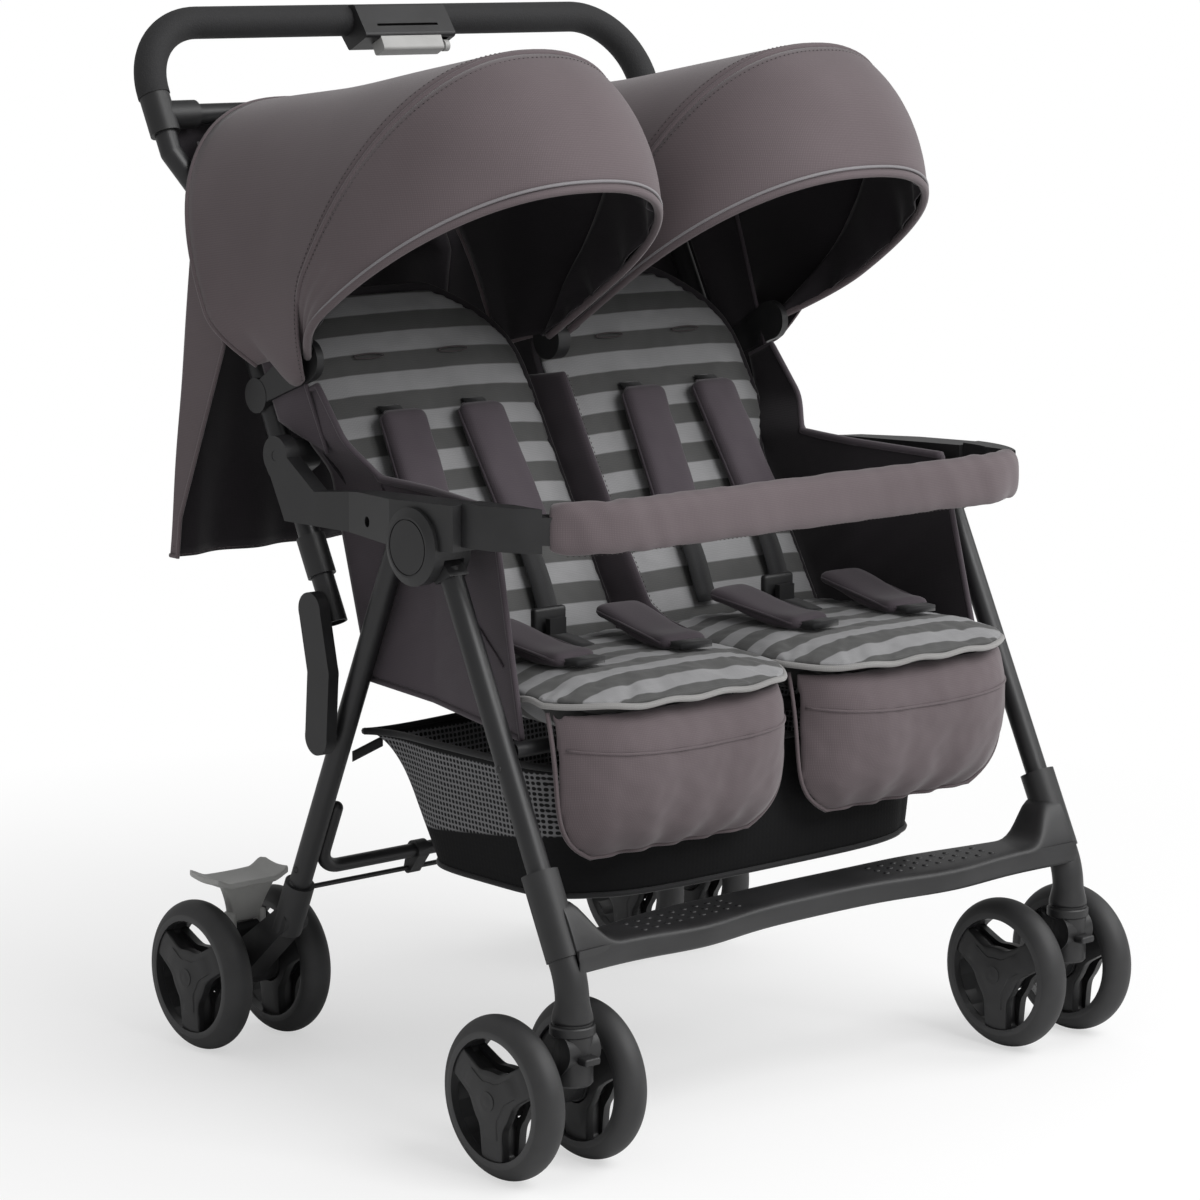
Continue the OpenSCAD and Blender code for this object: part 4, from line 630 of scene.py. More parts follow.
def striped_cloth(name, along, start, pitch):
    """Bands across the direction along, counted from start, each pitch wide."""
    finish, tree, shader, where = new_finish(name)
    reach = vector(tree, "DOT_PRODUCT", where, along)["Value"]
    turn = calc(tree, "MULTIPLY", calc(tree, "SUBTRACT", reach, start), 1 / (2 * pitch))
    from_middle = calc(tree, "ABSOLUTE", calc(tree, "SUBTRACT", calc(tree, "FRACT", turn), 0.5))
    band = spread(tree, from_middle, 0.0, 1.0, 0.235, 0.265)
    grey = blend_tones(tree, band, (*light_band, 1), (*dark_band, 1))
    dyed = spread(tree, speckle(tree, where, 30.0, 5.0), 0.86, 1.12)
    finish_cloth(tree, shader, where, vector(tree, "SCALE", grey, Scale=dyed)[0], 0.86)
    return finish


def two_faces(spot, top=1, under=-1):
    """The top and the under surface of a form whose places are spot(u, v, face)."""
    return (lambda u, v: spot(u, v, top)), (lambda u, v: spot(u, v, under))


def pad_form(name, top, under, cols, rows, *finishes):
    """A closed form between a top and an under surface, both over (u, v)."""
    wide = cols + 1
    spots = [face(i / cols, j / rows) for face in (top, under) for j in range(rows + 1) for i in range(cols + 1)]
    low = wide * (rows + 1)
    faces = []
    for j in range(rows):
        for i in range(cols):
            k = j * wide + i
            faces += [(k, k + 1, k + wide + 1, k + wide), (low + k, low + k + wide, low + k + wide + 1, low + k + 1)]
    rim = ([i for i in range(cols)] + [j * wide + cols for j in range(rows)]
           + [rows * wide + i for i in range(cols, 0, -1)] + [j * wide for j in range(rows, 0, -1)])
    faces += [(a, low + a, low + b, b) for a, b in zip(rim, rim[1:] + rim[:1])]
    return add_piece(name, spots, faces, *finishes, closed=True)


swell_steps = 20


def puff(piece, held, cap, pressure=4.0):
    """Swell a pad like filled cloth: points where held(place) is true are sewn down, and none moves beyond cap."""
    use_modifier(piece, "REMESH", mode="VOXEL", voxel_size=0.005)
    use_modifier(piece, "SMOOTH", factor=0.5, iterations=2)
    mesh = piece.data
    flat = [v.co.copy() for v in mesh.vertices]
    sewn = piece.vertex_groups.new(name="sewn")
    sewn.add([v.index for v in mesh.vertices if held(v.co)], 1.0, "REPLACE")
    swell = piece.modifiers.new("swell", "CLOTH")
    set_all(swell.settings, {"use_pressure": True, "uniform_pressure_force": pressure, "vertex_group_mass": "sewn",
                             "quality": 5, "tension_stiffness": 12, "compression_stiffness": 12,
                             "bending_stiffness": 0.4})
    swell.settings.effector_weights.gravity = 0.0
    set_all(swell.point_cache, {"frame_start": 1, "frame_end": swell_steps})
    for step in range(1, swell_steps + 1):
        bpy.context.scene.frame_set(step)
    pick(piece)
    bpy.ops.object.modifier_apply(modifier="swell")
    bpy.context.scene.frame_set(1)
    for vertex, old in zip(piece.data.vertices, flat):
        move = vertex.co - old
        if move.length > cap:
            vertex.co = old + move * (cap / move.length)
    piece.vertex_groups.clear()
    bpy.ops.object.shade_smooth()


def slacken(piece, axis, *grains):
    """Uneven cloth along one axis, from (size, grain) pairs."""
    for vertex in piece.data.vertices:
        vertex.co[axis] += sum(slack(vertex.co, size, grain) for size, grain in grains)


def crown(u, v):
    return (1 - (2 * u - 1) ** 4) * (1 - (2 * v - 1) ** 4)


seat_front, seat_deep = -20, 264


def seat_plan(u, v):
    drop = 62 * abs(2 * u - 1) ** 5
    return 4 + mix(286.4, 264, v) * u, seat_front + mix(drop, seat_deep, v)


def seat_top(u, v):
    x, y = seat_plan(u, v)
    return at(x, y, 353 - 6 * (1 - crown(u, v)))


def seat_under(u, v):
    x, y = seat_plan(u, v)
    full = min(1, 1.3 * crown(u, 0.5)) * min(1, max(0, (v - 0.22) / 0.08))
    return at(x, y, 305 + 31 * (1 - full))


def lip_spot(share):
    """Along the open edge of the lip, from the inner rear corner round the front to the outer rear corner."""
    if share < 0.3:
        u, v = 0.0, mix(0.75, 0.0, share / 0.3)
    elif share < 0.7:
        u, v = (share - 0.3) / 0.4, 0.0
    else:
        u, v = 1.0, mix(0.0, 0.75, (share - 0.7) / 0.3)
    x, y = seat_plan(u, v)
    return at(x, y, 338.5 + 1.2 * math.sin(70 * share))


seat_stripes = striped_cloth("seat_stripes", (0, 1, 0), at(0, seat_front, 0).y, 0.0205)
seat = pad_form("seat_pad_cloth_left", seat_top, seat_under, 40, 36, seat_stripes)
puff(seat, lambda place: place.z < at(0, 0, 341).z, 0.006)
subdivide(seat)
for vertex in seat.data.vertices:
    if vertex.co.z > at(0, 0, 338).z:
        vertex.co.z += slack(vertex.co, 0.0018, 26.0) + slack(vertex.co, 0.0009, 90.0)
band_grey = woven_cloth("pale_binding", (0.24, 0.235, 0.23), (0.30, 0.295, 0.29))
lip = roll("seat_binding_left", [lip_spot(t) for t in steps(160)], 0.0030, band_grey)
fold_squash = {"axis": (0, 1, 0), "anchor": at(0, 268, 0), "keep": 0.22}
fit_pair(seat, "striped_cloth", "rear_frame", "seat_pad_{}", squash=fold_squash, fill=0.5)
fit_pair(lip, "striped_cloth", "rear_frame", squash=fold_squash)


# Seat backs: a striped liner, quilted across, on a dark padded back with a rounded top.
# Each has a pair of harness slots with sewn edges.
back_turn = math.radians(30)
hinge_y, hinge_z, back_mid = 245, 352, 151
liner_span, shell_span, liner_inset = (-14, 382), (-10, 389), 5
back_up = (0, math.sin(back_turn), math.cos(back_turn))


def on_back(x, depth, reach):
    return at(x, hinge_y + depth * math.cos(back_turn) + reach * math.sin(back_turn),
              hinge_z - depth * math.sin(back_turn) + reach * math.cos(back_turn))


def back_x(u, v, inset):
    """Across a back from its inner edge; above the armrests the outer edge widens, and the top is round."""
    low, high = 5 + inset, 266 + 24 * smooth((v - 0.42) / 0.2) - inset
    round_off = 0.62 * max(0.0, (v - 0.7) / 0.3) ** 3
    return mix(mix(low, back_mid, round_off), mix(high, back_mid, round_off), u)


def liner_front(u, v):
    return on_back(back_x(u, v, liner_inset), 16 - 12 * crown(u, v), mix(*liner_span, v))


def liner_rear(u, v):
    return on_back(back_x(u, v, liner_inset), 20, mix(*liner_span, v))


def shell_front(u, v):
    return on_back(back_x(u, v, 0), 18, mix(*shell_span, v))


def shell_rear(u, v):
    return on_back(back_x(u, v, 0), 20 + 9 * crown(u, v), mix(*shell_span, v))


slot_reach, harness_mid, harness_step = 308, 154, 52
quilt_rows = (58, 122, 190, 250, slot_reach)


def liner_sewn(place):
    away = place - on_back(0, 0, 0)
    reach = away.dot(Vector(back_up)) * 1000
    depth = away.dot(Vector((0, math.cos(back_turn), -math.sin(back_turn)))) * 1000
    return depth > 15.5 or any(abs(reach - row) < 3.2 for row in quilt_rows)


back_stripes = striped_cloth("back_stripes", back_up, Vector(back_up).dot(on_back(0, 0, 0)), 0.0215)
liner = pad_form("seat_back_liner_left", liner_front, liner_rear, 36, 50, back_stripes)
puff(liner, liner_sewn, 0.007)
subdivide(liner)
slacken(liner, 1, (0.0016, 24.0), (0.0010, 70.0))
shell = pad_form("seat_back_shell_left", shell_front, shell_rear, 24, 30, plum_lining)
subdivide(shell)
slot_rings = []
for x in (-harness_step, harness_step):
    ring = [on_back(harness_mid + x + 18 * math.cos(a), 3.6, slot_reach + 2.6 * math.sin(a)) for a in turns(28)]
    slot_rings.append(roll("harness_slot_%d" % (x > 0), ring, 0.0008, taupe_thread, sides=6, closed=True))
deselect()
for ring in slot_rings:
    ring.select_set(True)
bpy.context.view_layer.objects.active = slot_rings[0]
bpy.ops.object.join()
slots = bpy.context.object
slots.name = "harness_slots_left"
fit_pair(liner, "striped_cloth", "seat_back_{}", "seat_back_{}", fill=0.45)
fit_pair(shell, "dark_cloth", "seat_back_{}", fill=0.4)
fit_pair(slots, "striped_cloth", "seat_back_{}")


# Harness: two padded shoulder sleeves with bound edges on each back, on black webbing.
# The webbing comes out of the back above each sleeve and runs on below it to the waist.
webbing = woven_cloth("black_webbing", (0.012, 0.012, 0.013), (0.020, 0.020, 0.021), 0.7)


# Half the width and the length of the sleeves, and the radius of their corners.
shoulder_size, waist_size, corner_r = (27, 142), (26, 116), 9


def sleeve_form(name, middle, half_w, length, thick, finish):
    """A flat padded sleeve from (0, 0) up, with round corners; middle(a, up, out) places it."""
    def edge(v):
        end = min(v, 1 - v) * length
        return half_w - corner_r + math.sqrt(max(0.0, corner_r ** 2 - max(0.0, corner_r - end) ** 2))

    def face(u, v, out):
        plump = (1 - (2 * u - 1) ** 4) ** 0.5 * min(1.0, min(v, 1 - v) * length / corner_r) ** 0.5
        return middle(edge(v) * (2 * u - 1), v * length, out * thick / 2 * (0.35 + 0.65 * plump))

    return pad_form(name, *two_faces(face), 14, 36, finish)


def sleeve_piping(name, place, half_w, length, finish):
    """The bound edge round a sleeve."""
    wide, low, high = half_w - 0.6, 8, length - 8
    flat, foot, head = wide - 8.4, 0.5, length - 0.5
    plan = ((-wide, low), (-wide, high), (-flat, head), (flat, head),
            (wide, high), (wide, low), (flat, foot), (-flat, foot))
    corners = [place(a, up, 0) for a, up in plan]
    path = [corners[i].lerp(corners[(i + 1) % 8], j / 8) for i in range(8) for j in range(8)]
    return roll(name, path, 0.0016, finish, sides=6, closed=True)


def shoulder_place(x):
    side = 1 if x > harness_mid else -1
    return lambda a, up, out: on_back(x + a - 0.06 * (up - 70) * side, -9 - out, 102 + up)


def waist_place(k):
    return lambda a, up, out: at(seat_mid + (78 - 0.1 * up) * k + a, 196 - up - 0.1 * a * k,
                                 366 + 16 * smooth(1 - up / 90) + out)


def web_strip(name, path, across, width, thick, finish):
    """Flat webbing along a path; across is its direction of width."""
    rings = []
    for i, spot in enumerate(path):
        along = (path[min(i + 1, len(path) - 1)] - path[max(i - 1, 0)]).normalized()
        up = along.cross(across).normalized() * thick / 2
        wide = across.normalized() * width / 2
        rings.append([spot - wide - up, spot + wide - up, spot + wide + up, spot - wide + up])
    return loft(name, rings, finish)


for number, x in enumerate((harness_mid - harness_step, harness_mid + harness_step)):
    sleeve = sleeve_form("shoulder_pad_%d_left" % number, shoulder_place(x), *shoulder_size, 20, plum_cloth)
    subdivide(sleeve)
    slacken(sleeve, 1, (0.0022, 40.0))
    path = [on_back(x, 2 - 6 * math.sin(math.pi * t), mix(254, 232, t)) for t in steps(12)]
    upper = web_strip("shoulder_web_%d_left" % number, path, Vector((1, 0, 0)), 0.025, 0.0016, webbing)
    path = [on_back(x, -4 + 5 * smooth(1 - 2 * t), mix(12, 112, t)) for t in steps(10)]
    lower = web_strip("hip_web_%d_left" % number, path, Vector((1, 0, 0)), 0.025, 0.0016, webbing)
    fit_pair(sleeve, "outer_cloth", "seat_back_{}", "harness_{}", fill=0.6)
    edge = sleeve_piping("shoulder_piping_%d_left" % number, shoulder_place(x), *shoulder_size, plum_cloth)
    for part in (upper, lower, edge):
        fit_pair(part, "dark_cloth", "seat_back_{}")


# Lap belts: two waist sleeves with bound edges and a webbing end, and the buckle between them.
for number, k in enumerate((-1, 1)):
    place = waist_place(k)
    sleeve = sleeve_form("waist_pad_%d_left" % number, place, *waist_size, 15, plum_cloth)
    subdivide(sleeve)
    edge = sleeve_piping("waist_piping_%d_left" % number, place, *waist_size, plum_cloth)
    end = web_strip("waist_web_%d_left" % number, [place(0, 104 + 4 * i, -1.0) for i in range(8)],
                    place(10, 0, 0) - place(-10, 0, 0), 0.036, 0.006, webbing)
    fit_pair(sleeve, "outer_cloth", "rear_frame", "lap_belt_{}", squash=fold_squash, fill=0.6)
    for part in (edge, end):
        fit_pair(part, "dark_cloth", "rear_frame", squash=fold_squash)


def rounded_block(name, low, high, bevel, *finishes):
    deselect()
    bpy.ops.mesh.primitive_cube_add(size=1, location=(low + high) / 2)
    block = bpy.context.object
    block.name = name
    block.scale = high - low
    bpy.ops.object.transform_apply(location=True, rotation=True, scale=True)
    block.data.materials.clear()
    for finish in finishes:
        block.data.materials.append(finish)
    use_modifier(block, "BEVEL", width=bevel, segments=3, limit_method="NONE")
    bpy.ops.object.shade_smooth_by_angle(angle=math.radians(40))
    return block


buckle = rounded_block("harness_buckle_left", at(seat_mid - 20, 197.5, 357), at(seat_mid + 20, 206, 391), 0.0035,
                       black_nylon)
crotch = [at(seat_mid, mix(150, 200, t), 360 + 6 * math.sin(1.6 * t)) for t in steps(10)]
buckle_web = web_strip("crotch_web_left", crotch, Vector((1, 0, 0)), 0.026, 0.0018, webbing)
for part in (buckle, buckle_web):
    fit_pair(part, "moulding", "rear_frame", squash=fold_squash)


# Leg rests: a filled apron that hangs from the seat edge, its lower half rounded off and pulled in by puckers.
# A flat band is sewn across the top, and a piping closes the edge.
rest_wide, rest_top, rest_drop = 139, 331, 138


def rest_half(v):
    return rest_wide * (1 - 0.3 * v ** 7)


def rest_spot(u, v, thick):
    fold = 7 * v ** 3 * math.cos(10 * math.pi * u) * crown(u, 0.5)
    back = 30 * v * v + 40 * abs(2 * u - 1) ** 6 * (1 - v)
    return at(seat_mid + rest_half(v) * (2 * u - 1), 2 + back - (thick - fold / 2 if thick else 0),
              rest_top - rest_drop * v)


def rest_front(u, v):
    return rest_spot(u, v, 5 + 22 * crown(u, v))


def rest_rear(u, v):
    return rest_spot(u, v, 0)


def rest_band(across):
    """Height of the curved seam under the flat band."""
    return 0.23 + 0.05 * (1 - across ** 2)


def rest_sewn(place):
    x, y, z = place.x * 1000 - seat_mid, place.y * 1000 + row_y, place.z * 1000 - wheel_r
    v = (rest_top - z) / rest_drop
    band = rest_band(x / rest_wide)
    pucker = v > 0.82 and math.cos(x / 13.0) > 0.55
    back = y > 2 + 30 * v * v + 40 * abs(x / rest_wide) ** 6 * (1 - v) - 4
    return back or abs(v - band) < 0.018 or pucker


leg_rest = pad_form("legrest_cloth_left", rest_front, rest_rear, 44, 26, taupe_cloth)
puff(leg_rest, rest_sewn, 0.011, pressure=6.0)
subdivide(leg_rest)
slacken(leg_rest, 1, (0.0022, 18.0), (0.0010, 60.0))
rim = ([rest_spot(0.0, v, 3) for v in steps(30)] + [rest_spot(u, 1.0, 3) for u in steps(40)[1:-1]]
       + [rest_spot(1.0, 1 - v, 3) for v in steps(30)])
rest_piping = roll("legrest_piping_left", rim, 0.0022, taupe_cloth, sides=6)
welt = [rest_front(u, rest_band(2 * u - 1)) for u in [mix(0.02, 0.98, t) for t in steps(60)]]
welt = [p + Vector((0, slack(p, 0.0022, 18.0), 0)) for p in welt]
rest_welt = roll("legrest_welt_left", welt, 0.0014, taupe_cloth, sides=6)
fit_pair(leg_rest, "outer_cloth", "legrest_{}", "legrest_{}", fill=0.6)
for part in (rest_piping, rest_welt):
    fit_pair(part, "outer_cloth", "legrest_{}")


# Side panels: cloth walls from the seat to the armrest and up to the canopy clip, plum outside and dark inside.
# The top edge is a padded hem, and a tab holds it to the armrest.
panel_low, panel_top = ((64, 304), (322, 320)), ((112, 506), (296, 514), (366, 598), (398, 584))
panel_share = (0.0, 0.58, 0.9, 1.0)


def panel_x(y, z=400):
    return 270 + max(0.0, 32 * (220 - y) / 204) + 23 * smooth((z - 505) / 50) * smooth((y - 250) / 40)


def panel_profile(u, v):
    for i in range(3):
        if u <= panel_share[i + 1] or i == 2:
            share = (u - panel_share[i]) / (panel_share[i + 1] - panel_share[i])
            top = [mix(a, b, share) for a, b in zip(panel_top[i], panel_top[i + 1])]
            break
    low = [mix(a, b, u) for a, b in zip(*panel_low)]
    return mix(low[0], top[0], v), mix(low[1], top[1], v)


def panel_spot(u, v):
    y, z = panel_profile(u, v)
    spot = at(panel_x(y, z) + 2.4, y, z)
    loose = math.sin(math.pi * v) * math.sin(math.pi * u)
    ripple = 0.0012 * math.sin(40 * (u + v)) * (1 - v)
    return spot + Vector((1, 0, 0)) * (slack(spot, 0.006, 8.0) + ripple) * loose


panel = cut_sheet("side_panel_cloth_left", panel_spot, 60, 40, at(150, 200, 400), plum_cloth, plum_lining)
panel_area = line_sheet(panel, 0.0024)
hem_path = [panel_spot(u, 1.0) for u in steps(60)]
panel_hem = roll("side_panel_hem_left", hem_path, lambda s: 0.0042 if s < 0.6 else 0.003, plum_cloth)
front_hem = roll("side_panel_front_left", [panel_spot(0.0, v) for v in steps(30)], 0.003, plum_cloth)
low_hem = roll("side_panel_foot_left", [panel_spot(u, 0.0) for u in steps(40)], 0.0028, plum_cloth)
seam_path = [panel_spot(mix(0.06, 0.62, t), mix(0.3, 0.92, t)) + Vector((0.0008, 0, 0)) for t in steps(40)]
panel_seam = roll("side_panel_seam_left", seam_path, 0.0013, plum_cloth, sides=6)


def tab_spot(u, v):
    y = mix(160, 196, u)
    return at(mix(panel_x(y) + 2, 305, v), y, 462)


tab = cut_sheet("side_panel_tab_left", tab_spot, 8, 6, at(290, 180, 300), plum_cloth, plum_lining)
tab_area = line_sheet(tab, 0.0024)
panel_squash = {"axis": (0, 1, 0), "anchor": at(0, 235, 0), "keep": 0.12}
fit_pair(panel, "outer_cloth", "rear_frame", "side_panels", squash=panel_squash, cloth=cut(0.34, panel_area))
fit_pair(tab, "outer_cloth", "rear_frame", squash=panel_squash, cloth=cut(0.04, tab_area))
for part in (panel_hem, front_hem, low_hem, panel_seam):
    fit_pair(part, "outer_cloth", "rear_frame", squash=panel_squash)


# Seat divider: a padded fin between the two seats, sewn from two plum sides with a seam along its nose.
fin_nose = ((176, 352), (222, 376), (270, 451), (316, 530), (350, 592))
fin_heel = ((196, 318), (276, 340), (340, 436), (386, 522), (418, 582))


def along(points, s):
    k = min(int(s * (len(points) - 1)), len(points) - 2)
    share = s * (len(points) - 1) - k
    return [mix(a, b, share) for a, b in zip(points[k], points[k + 1])]


def fin_spot(s, w, side):
    nose, heel = along(fin_nose, s), along(fin_heel, s)
    y, z = mix(nose[0], heel[0], w), mix(nose[1], heel[1], w)
    ripple = 0.8 * math.sin(38 * s) * w
    return at(side * (6.6 * (1 - (1 - w) ** 4) ** 0.5 + ripple) * (1 - 0.5 * w * w), y, z)


fin = pad_form("seat_divider_cloth", *two_faces(fin_spot), 48, 12, plum_cloth)
subdivide(fin)
nose_path = [fin_spot(u, 0.0, 1) + Vector((0, -0.0004, 0)) for u in steps(60)]
fin_seam = stitches("seat_divider_stitch", nose_path, taupe_thread)
fin_squash = {"axis": (0, 0.72, 0.694), "anchor": at(0, 400, 586), "keep": 0.35}
fit(fin, "outer_cloth", "handle", "seat_divider", fin_squash, fill=0.6)
fit(fin_seam, "outer_cloth", "handle", squash=fin_squash)


# Bumper cover: a padded taupe sleeve on the bar, closed by a seam underneath and pulled in at both ends.
# It is slightly loose, so it wrinkles near the ends and over the bends.
bar_bend, bar_straight, bar_front, bumper_z = 94, 228, 4, 498
cover_out, cover_high = 15.5, 24.5


def bumper_path(s):
    """Centre of the bar and its outward direction, by the share along it from end to end."""
    arc = math.radians(44) * bar_bend
    run = s * (2 * bar_straight + 2 * arc) - arc
    if 0 <= run <= 2 * bar_straight:
        return (run - bar_straight, bar_front), (0, -1)
    side = -1 if run < 0 else 1
    a = (-run if run < 0 else run - 2 * bar_straight) / bar_bend
    out = (side * math.sin(a), -math.cos(a))
    return (side * bar_straight + bar_bend * out[0], bar_front + bar_bend * (1 + out[1])), out


def bumper_ring(s):
    (x, y), (ox, oy) = bumper_path(s)
    end = min(s, 1 - s)
    pull = 1 - 0.16 * math.exp(-end * 90)
    loose = 0.35 + 1.1 * math.exp(-end * 12)
    ring = []
    for a in turns(28):
        c, d = math.cos(a), math.sin(a)
        out = blunt(c, 0.8) * cover_out
        high = blunt(d, 0.75) * cover_high
        spot = at(x + ox * out * pull, y + oy * out * pull, bumper_z + high * pull)
        fold = slack(Vector((spot.x * 1.0 + spot.z * 0.4, spot.y, spot.z * 0.25)), 0.0032 * loose, 55.0)
        sag = 0.0022 * math.exp(-((a - 4.71) / 0.22) ** 2)
        middle = at(x, y, bumper_z)
        ring.append(spot + (spot - middle).normalized() * (fold - sag))
    return ring


sleeve = loft("bumper_cover_cloth", [bumper_ring(share) for share in steps(150)], taupe_cloth)
subdivide(sleeve)
seam_path = []
for (x, y), (ox, oy) in [bumper_path(i / 80) for i in range(2, 79)]:
    seam_path.append(at(x + 4 * ox, y + 4 * oy, 474.6))
sleeve_seam = stitches("bumper_cover_stitch", seam_path, taupe_thread)
fit(sleeve, "outer_cloth", "bumper", "bumper_cover", fill=0.7)
fit(sleeve_seam, "outer_cloth", "bumper")


# Basket: a black cloth tub with a band of open mesh round the sides and back, hung on webbing.
# The rim is bound; the floor sags under its own weight.
def mesh_cloth():
    finish, tree, shader, where = new_finish("basket_cloth")
    high = add_node(tree, "ShaderNodeSeparateXYZ", {"Vector": where}).outputs
    slant = calc(tree, "MULTIPLY_ADD", high["Y"], 0.12, high["Z"])
    above = spread(tree, slant, 0.0, 1.0, 0.2506, 0.2526)
    below = spread(tree, high["Z"], 1.0, 0.0, 0.334, 0.336)
    behind = spread(tree, high["Y"], 0.0, 1.0, -0.226, -0.222)
    open_band = calc(tree, "MULTIPLY", calc(tree, "MULTIPLY", above, below), behind)
    net = weave(tree, where, 0.0052)
    # Between the threads of the mesh band the colour is painted pale: painted light for the white floor seen through
    # the open mesh, as the sheet itself is closed.
    pale = calc(tree, "MULTIPLY", spread(tree, net, 1.0, 0.0, 0.12, 0.3), open_band)
    tone = blend_tones(tree, pale, (0.006, 0.006, 0.0065, 1), (0.17, 0.17, 0.175, 1))
    feed(tree, shader, {"Base Color": tone, "Roughness": 0.85, "Specular IOR Level": 0.2})
    raise_grain(tree, shader, net, 0.3, 0.0006)
    return finish


tub_half_x, tub_half_y, tub_y, tub_low, tub_high = 260, 142, 188, 142, 268
floor_share = 0.35


def tub_ring(turn, v):
    c, s = math.cos(turn), math.sin(turn)
    shrink = mix(0.92, 1.0, v)
    bow = 0.972 + 0.028 * abs(math.cos(2 * turn))
    spot = at(tub_half_x * shrink * blunt(c, 2 / 4.5) * bow,
              tub_y + 6 * (v - 0.5) + tub_half_y * shrink * blunt(s, 2 / 4.5) * bow,
              mix(tub_low, tub_high, v) - 5 * (1 - abs(math.cos(2 * turn))) * v)
    corner = abs(math.sin(2 * turn)) ** 4 * v if s > 0 else 0.0
    return spot.lerp(at(math.copysign(262, c), 342, 264), corner)


def tub_spot(u, v):
    turn = 2 * math.pi * u
    if v < floor_share:
        share = v / floor_share
        sag = Vector((0, 0, -0.010 * (1 - share * share) + 0.010 * (1 - share)))
        return at(0, tub_y, tub_low - 10).lerp(tub_ring(turn, 0.0), share) + sag
    climb = (v - floor_share) / (1 - floor_share)
    spot = tub_ring(turn, climb)
    outward = Vector((math.cos(turn), math.sin(turn), 0))
    return spot + outward * slack(spot, 0.005, 10.0) * math.sin(math.pi * climb)


tub = cut_sheet("basket_tub", tub_spot, 120, 34, at(0, tub_y, 240), mesh_cloth(), mesh_cloth())
tub_area = line_sheet(tub, 0.002)
rim_path, floor_path = [[tub_ring(turn, v) for turn in turns(160)] for v in (1.0, 0.0)]
tub_rim = roll("basket_binding", rim_path, 0.0035, webbing, closed=True)
tub_edge = roll("basket_floor_piping", floor_path, 0.0028, webbing, closed=True)
hangers = []
for k in (-1, 1):
    corner = tub_ring(math.pi / 4 if k > 0 else 3 * math.pi / 4, 0.72)
    leg = at(k * 274, 346, 240)
    strap = [corner.lerp(leg, share) for share in steps(8)]
    loop = [at(k * 191, mix(51, 56.6, share), mix(266, 289, share)) for share in steps(8)]
    hangers.append(web_strip("basket_strap_%d" % (k > 0), strap, Vector((0, 0, 1)), 0.010, 0.002, webbing))
    hangers.append(web_strip("basket_loop_%d" % (k > 0), loop, Vector((1, 0, 0)), 0.018, 0.002, webbing))
tub_squash = {"axis": (0, 1, 0), "anchor": at(0, 336, 0), "keep": 0.12}
fit(tub, "dark_cloth", "rear_frame", "basket", tub_squash,
    cloth=cut(0.95, tub_area, "hung", rests_on=["rear_legs", "seat_front_bar"]))
for piece in (tub_rim, tub_edge, *hangers):
    fit(piece, "dark_cloth", "rear_frame", squash=tub_squash)


# Side wings: a lined strip on each side, from the edge of the back to the handle tube, up under the canopy.
def wing_spot(u, v):
    near = on_back(mix(294, 312, v), mix(2, -30, v), mix(212, 470, v))
    spot = near.lerp(on_handle(mix(300, 296, v), 15, mix(186, 478, v)), u)
    return spot + Vector((1, 0, 0)) * math.sin(math.pi * u) * (0.002 + slack(spot, 0.003, 14.0))


wing = cut_sheet("side_wing_cloth_left", wing_spot, 16, 40, at(150, 400, 640), plum_cloth, plum_lining)
wing_area = line_sheet(wing)
wing_hem = roll("side_wing_hem_left", [wing_spot(0.0, v) for v in steps(40)], 0.0022, plum_cloth, sides=6)
wing_squash = {"axis": (0, -math.cos(lean), math.sin(lean)), "anchor": on_handle(0, 16, 300), "keep": 0.12}
fit_pair(wing, "outer_cloth", "handle", squash=wing_squash, cloth=cut(0.09, wing_area))
fit_pair(wing_hem, "outer_cloth", "handle", squash=wing_squash)


# Hub faces: each wheel's moulded three-armed disc, with a raised middle and a fine step round it.
# The face on the housing's side is a ring round the hub, which runs against the housing there.
arm_reach, arm_half, hub_r = 58.0, 14.5, 27.0


def arm_edge(turn):
    """Edge of the three straight arms and the round middle, by the turn from the first arm."""
    third = 2 * math.pi / 3
    from_arm = abs((turn + third / 2) % third - third / 2)
    arm = arm_half / max(0.1, math.sin(from_arm))
    return min(arm_reach, (arm ** 6 + hub_r ** 6) ** (1 / 6))


hub_steps = ((0.05, 0.0), (0.25, 0.0), (0.45, 0.0), (0.62, 0.0), (0.645, 0.8), (0.8, 0.8), (0.93, 0.9), (0.985, 1.8),
             (1.0, 3.4), (1.0, 9.4))
web_steps = ((0.0, 0.0), (0.5, 0.0), (0.93, 0.9), (0.985, 1.8), (1.0, 3.4), (1.0, 9.4), (0.0, 9.4))


def hub_face(name, x, axle_y, facing, outside):
    rings = []
    for share, drop in hub_steps if outside else web_steps:
        ring = []
        for turn in turns(120):
            reach = arm_edge(turn) * share if outside else mix(21, max(21.5, arm_edge(turn)), share)
            rise = 18.2 + 2.6 * math.exp(-(reach / 13) ** 2) if outside else 15.6
            ring.append(at(x + facing * (rise - 2.8 * (reach / arm_reach) ** 2 - drop), axle_y + reach * math.sin(turn),
                           -reach * math.cos(turn)))
        rings.append(ring)
    face = loft(name, rings, black_nylon, closed=not outside)
    bpy.ops.object.shade_smooth_by_angle(angle=math.radians(35))
    return face


for end, half, axle_y in (("front", front_half, 0), ("rear", rear_half, rear_axle)):
    for side, k in (("left", 1), ("right", -1)):
        for place, step in (("outer", pair_step), ("inner", -pair_step)):
            wheel = f"{end}_wheel_{side}_{place}"
            away = k if place == "outer" else -k
            for outside in (True, False):
                face = hub_face(f"{wheel}_{'cap' if outside else 'web'}", k * (half + step), axle_y,
                                away if outside else -away, outside)
                fit(face, "moulding", wheel)


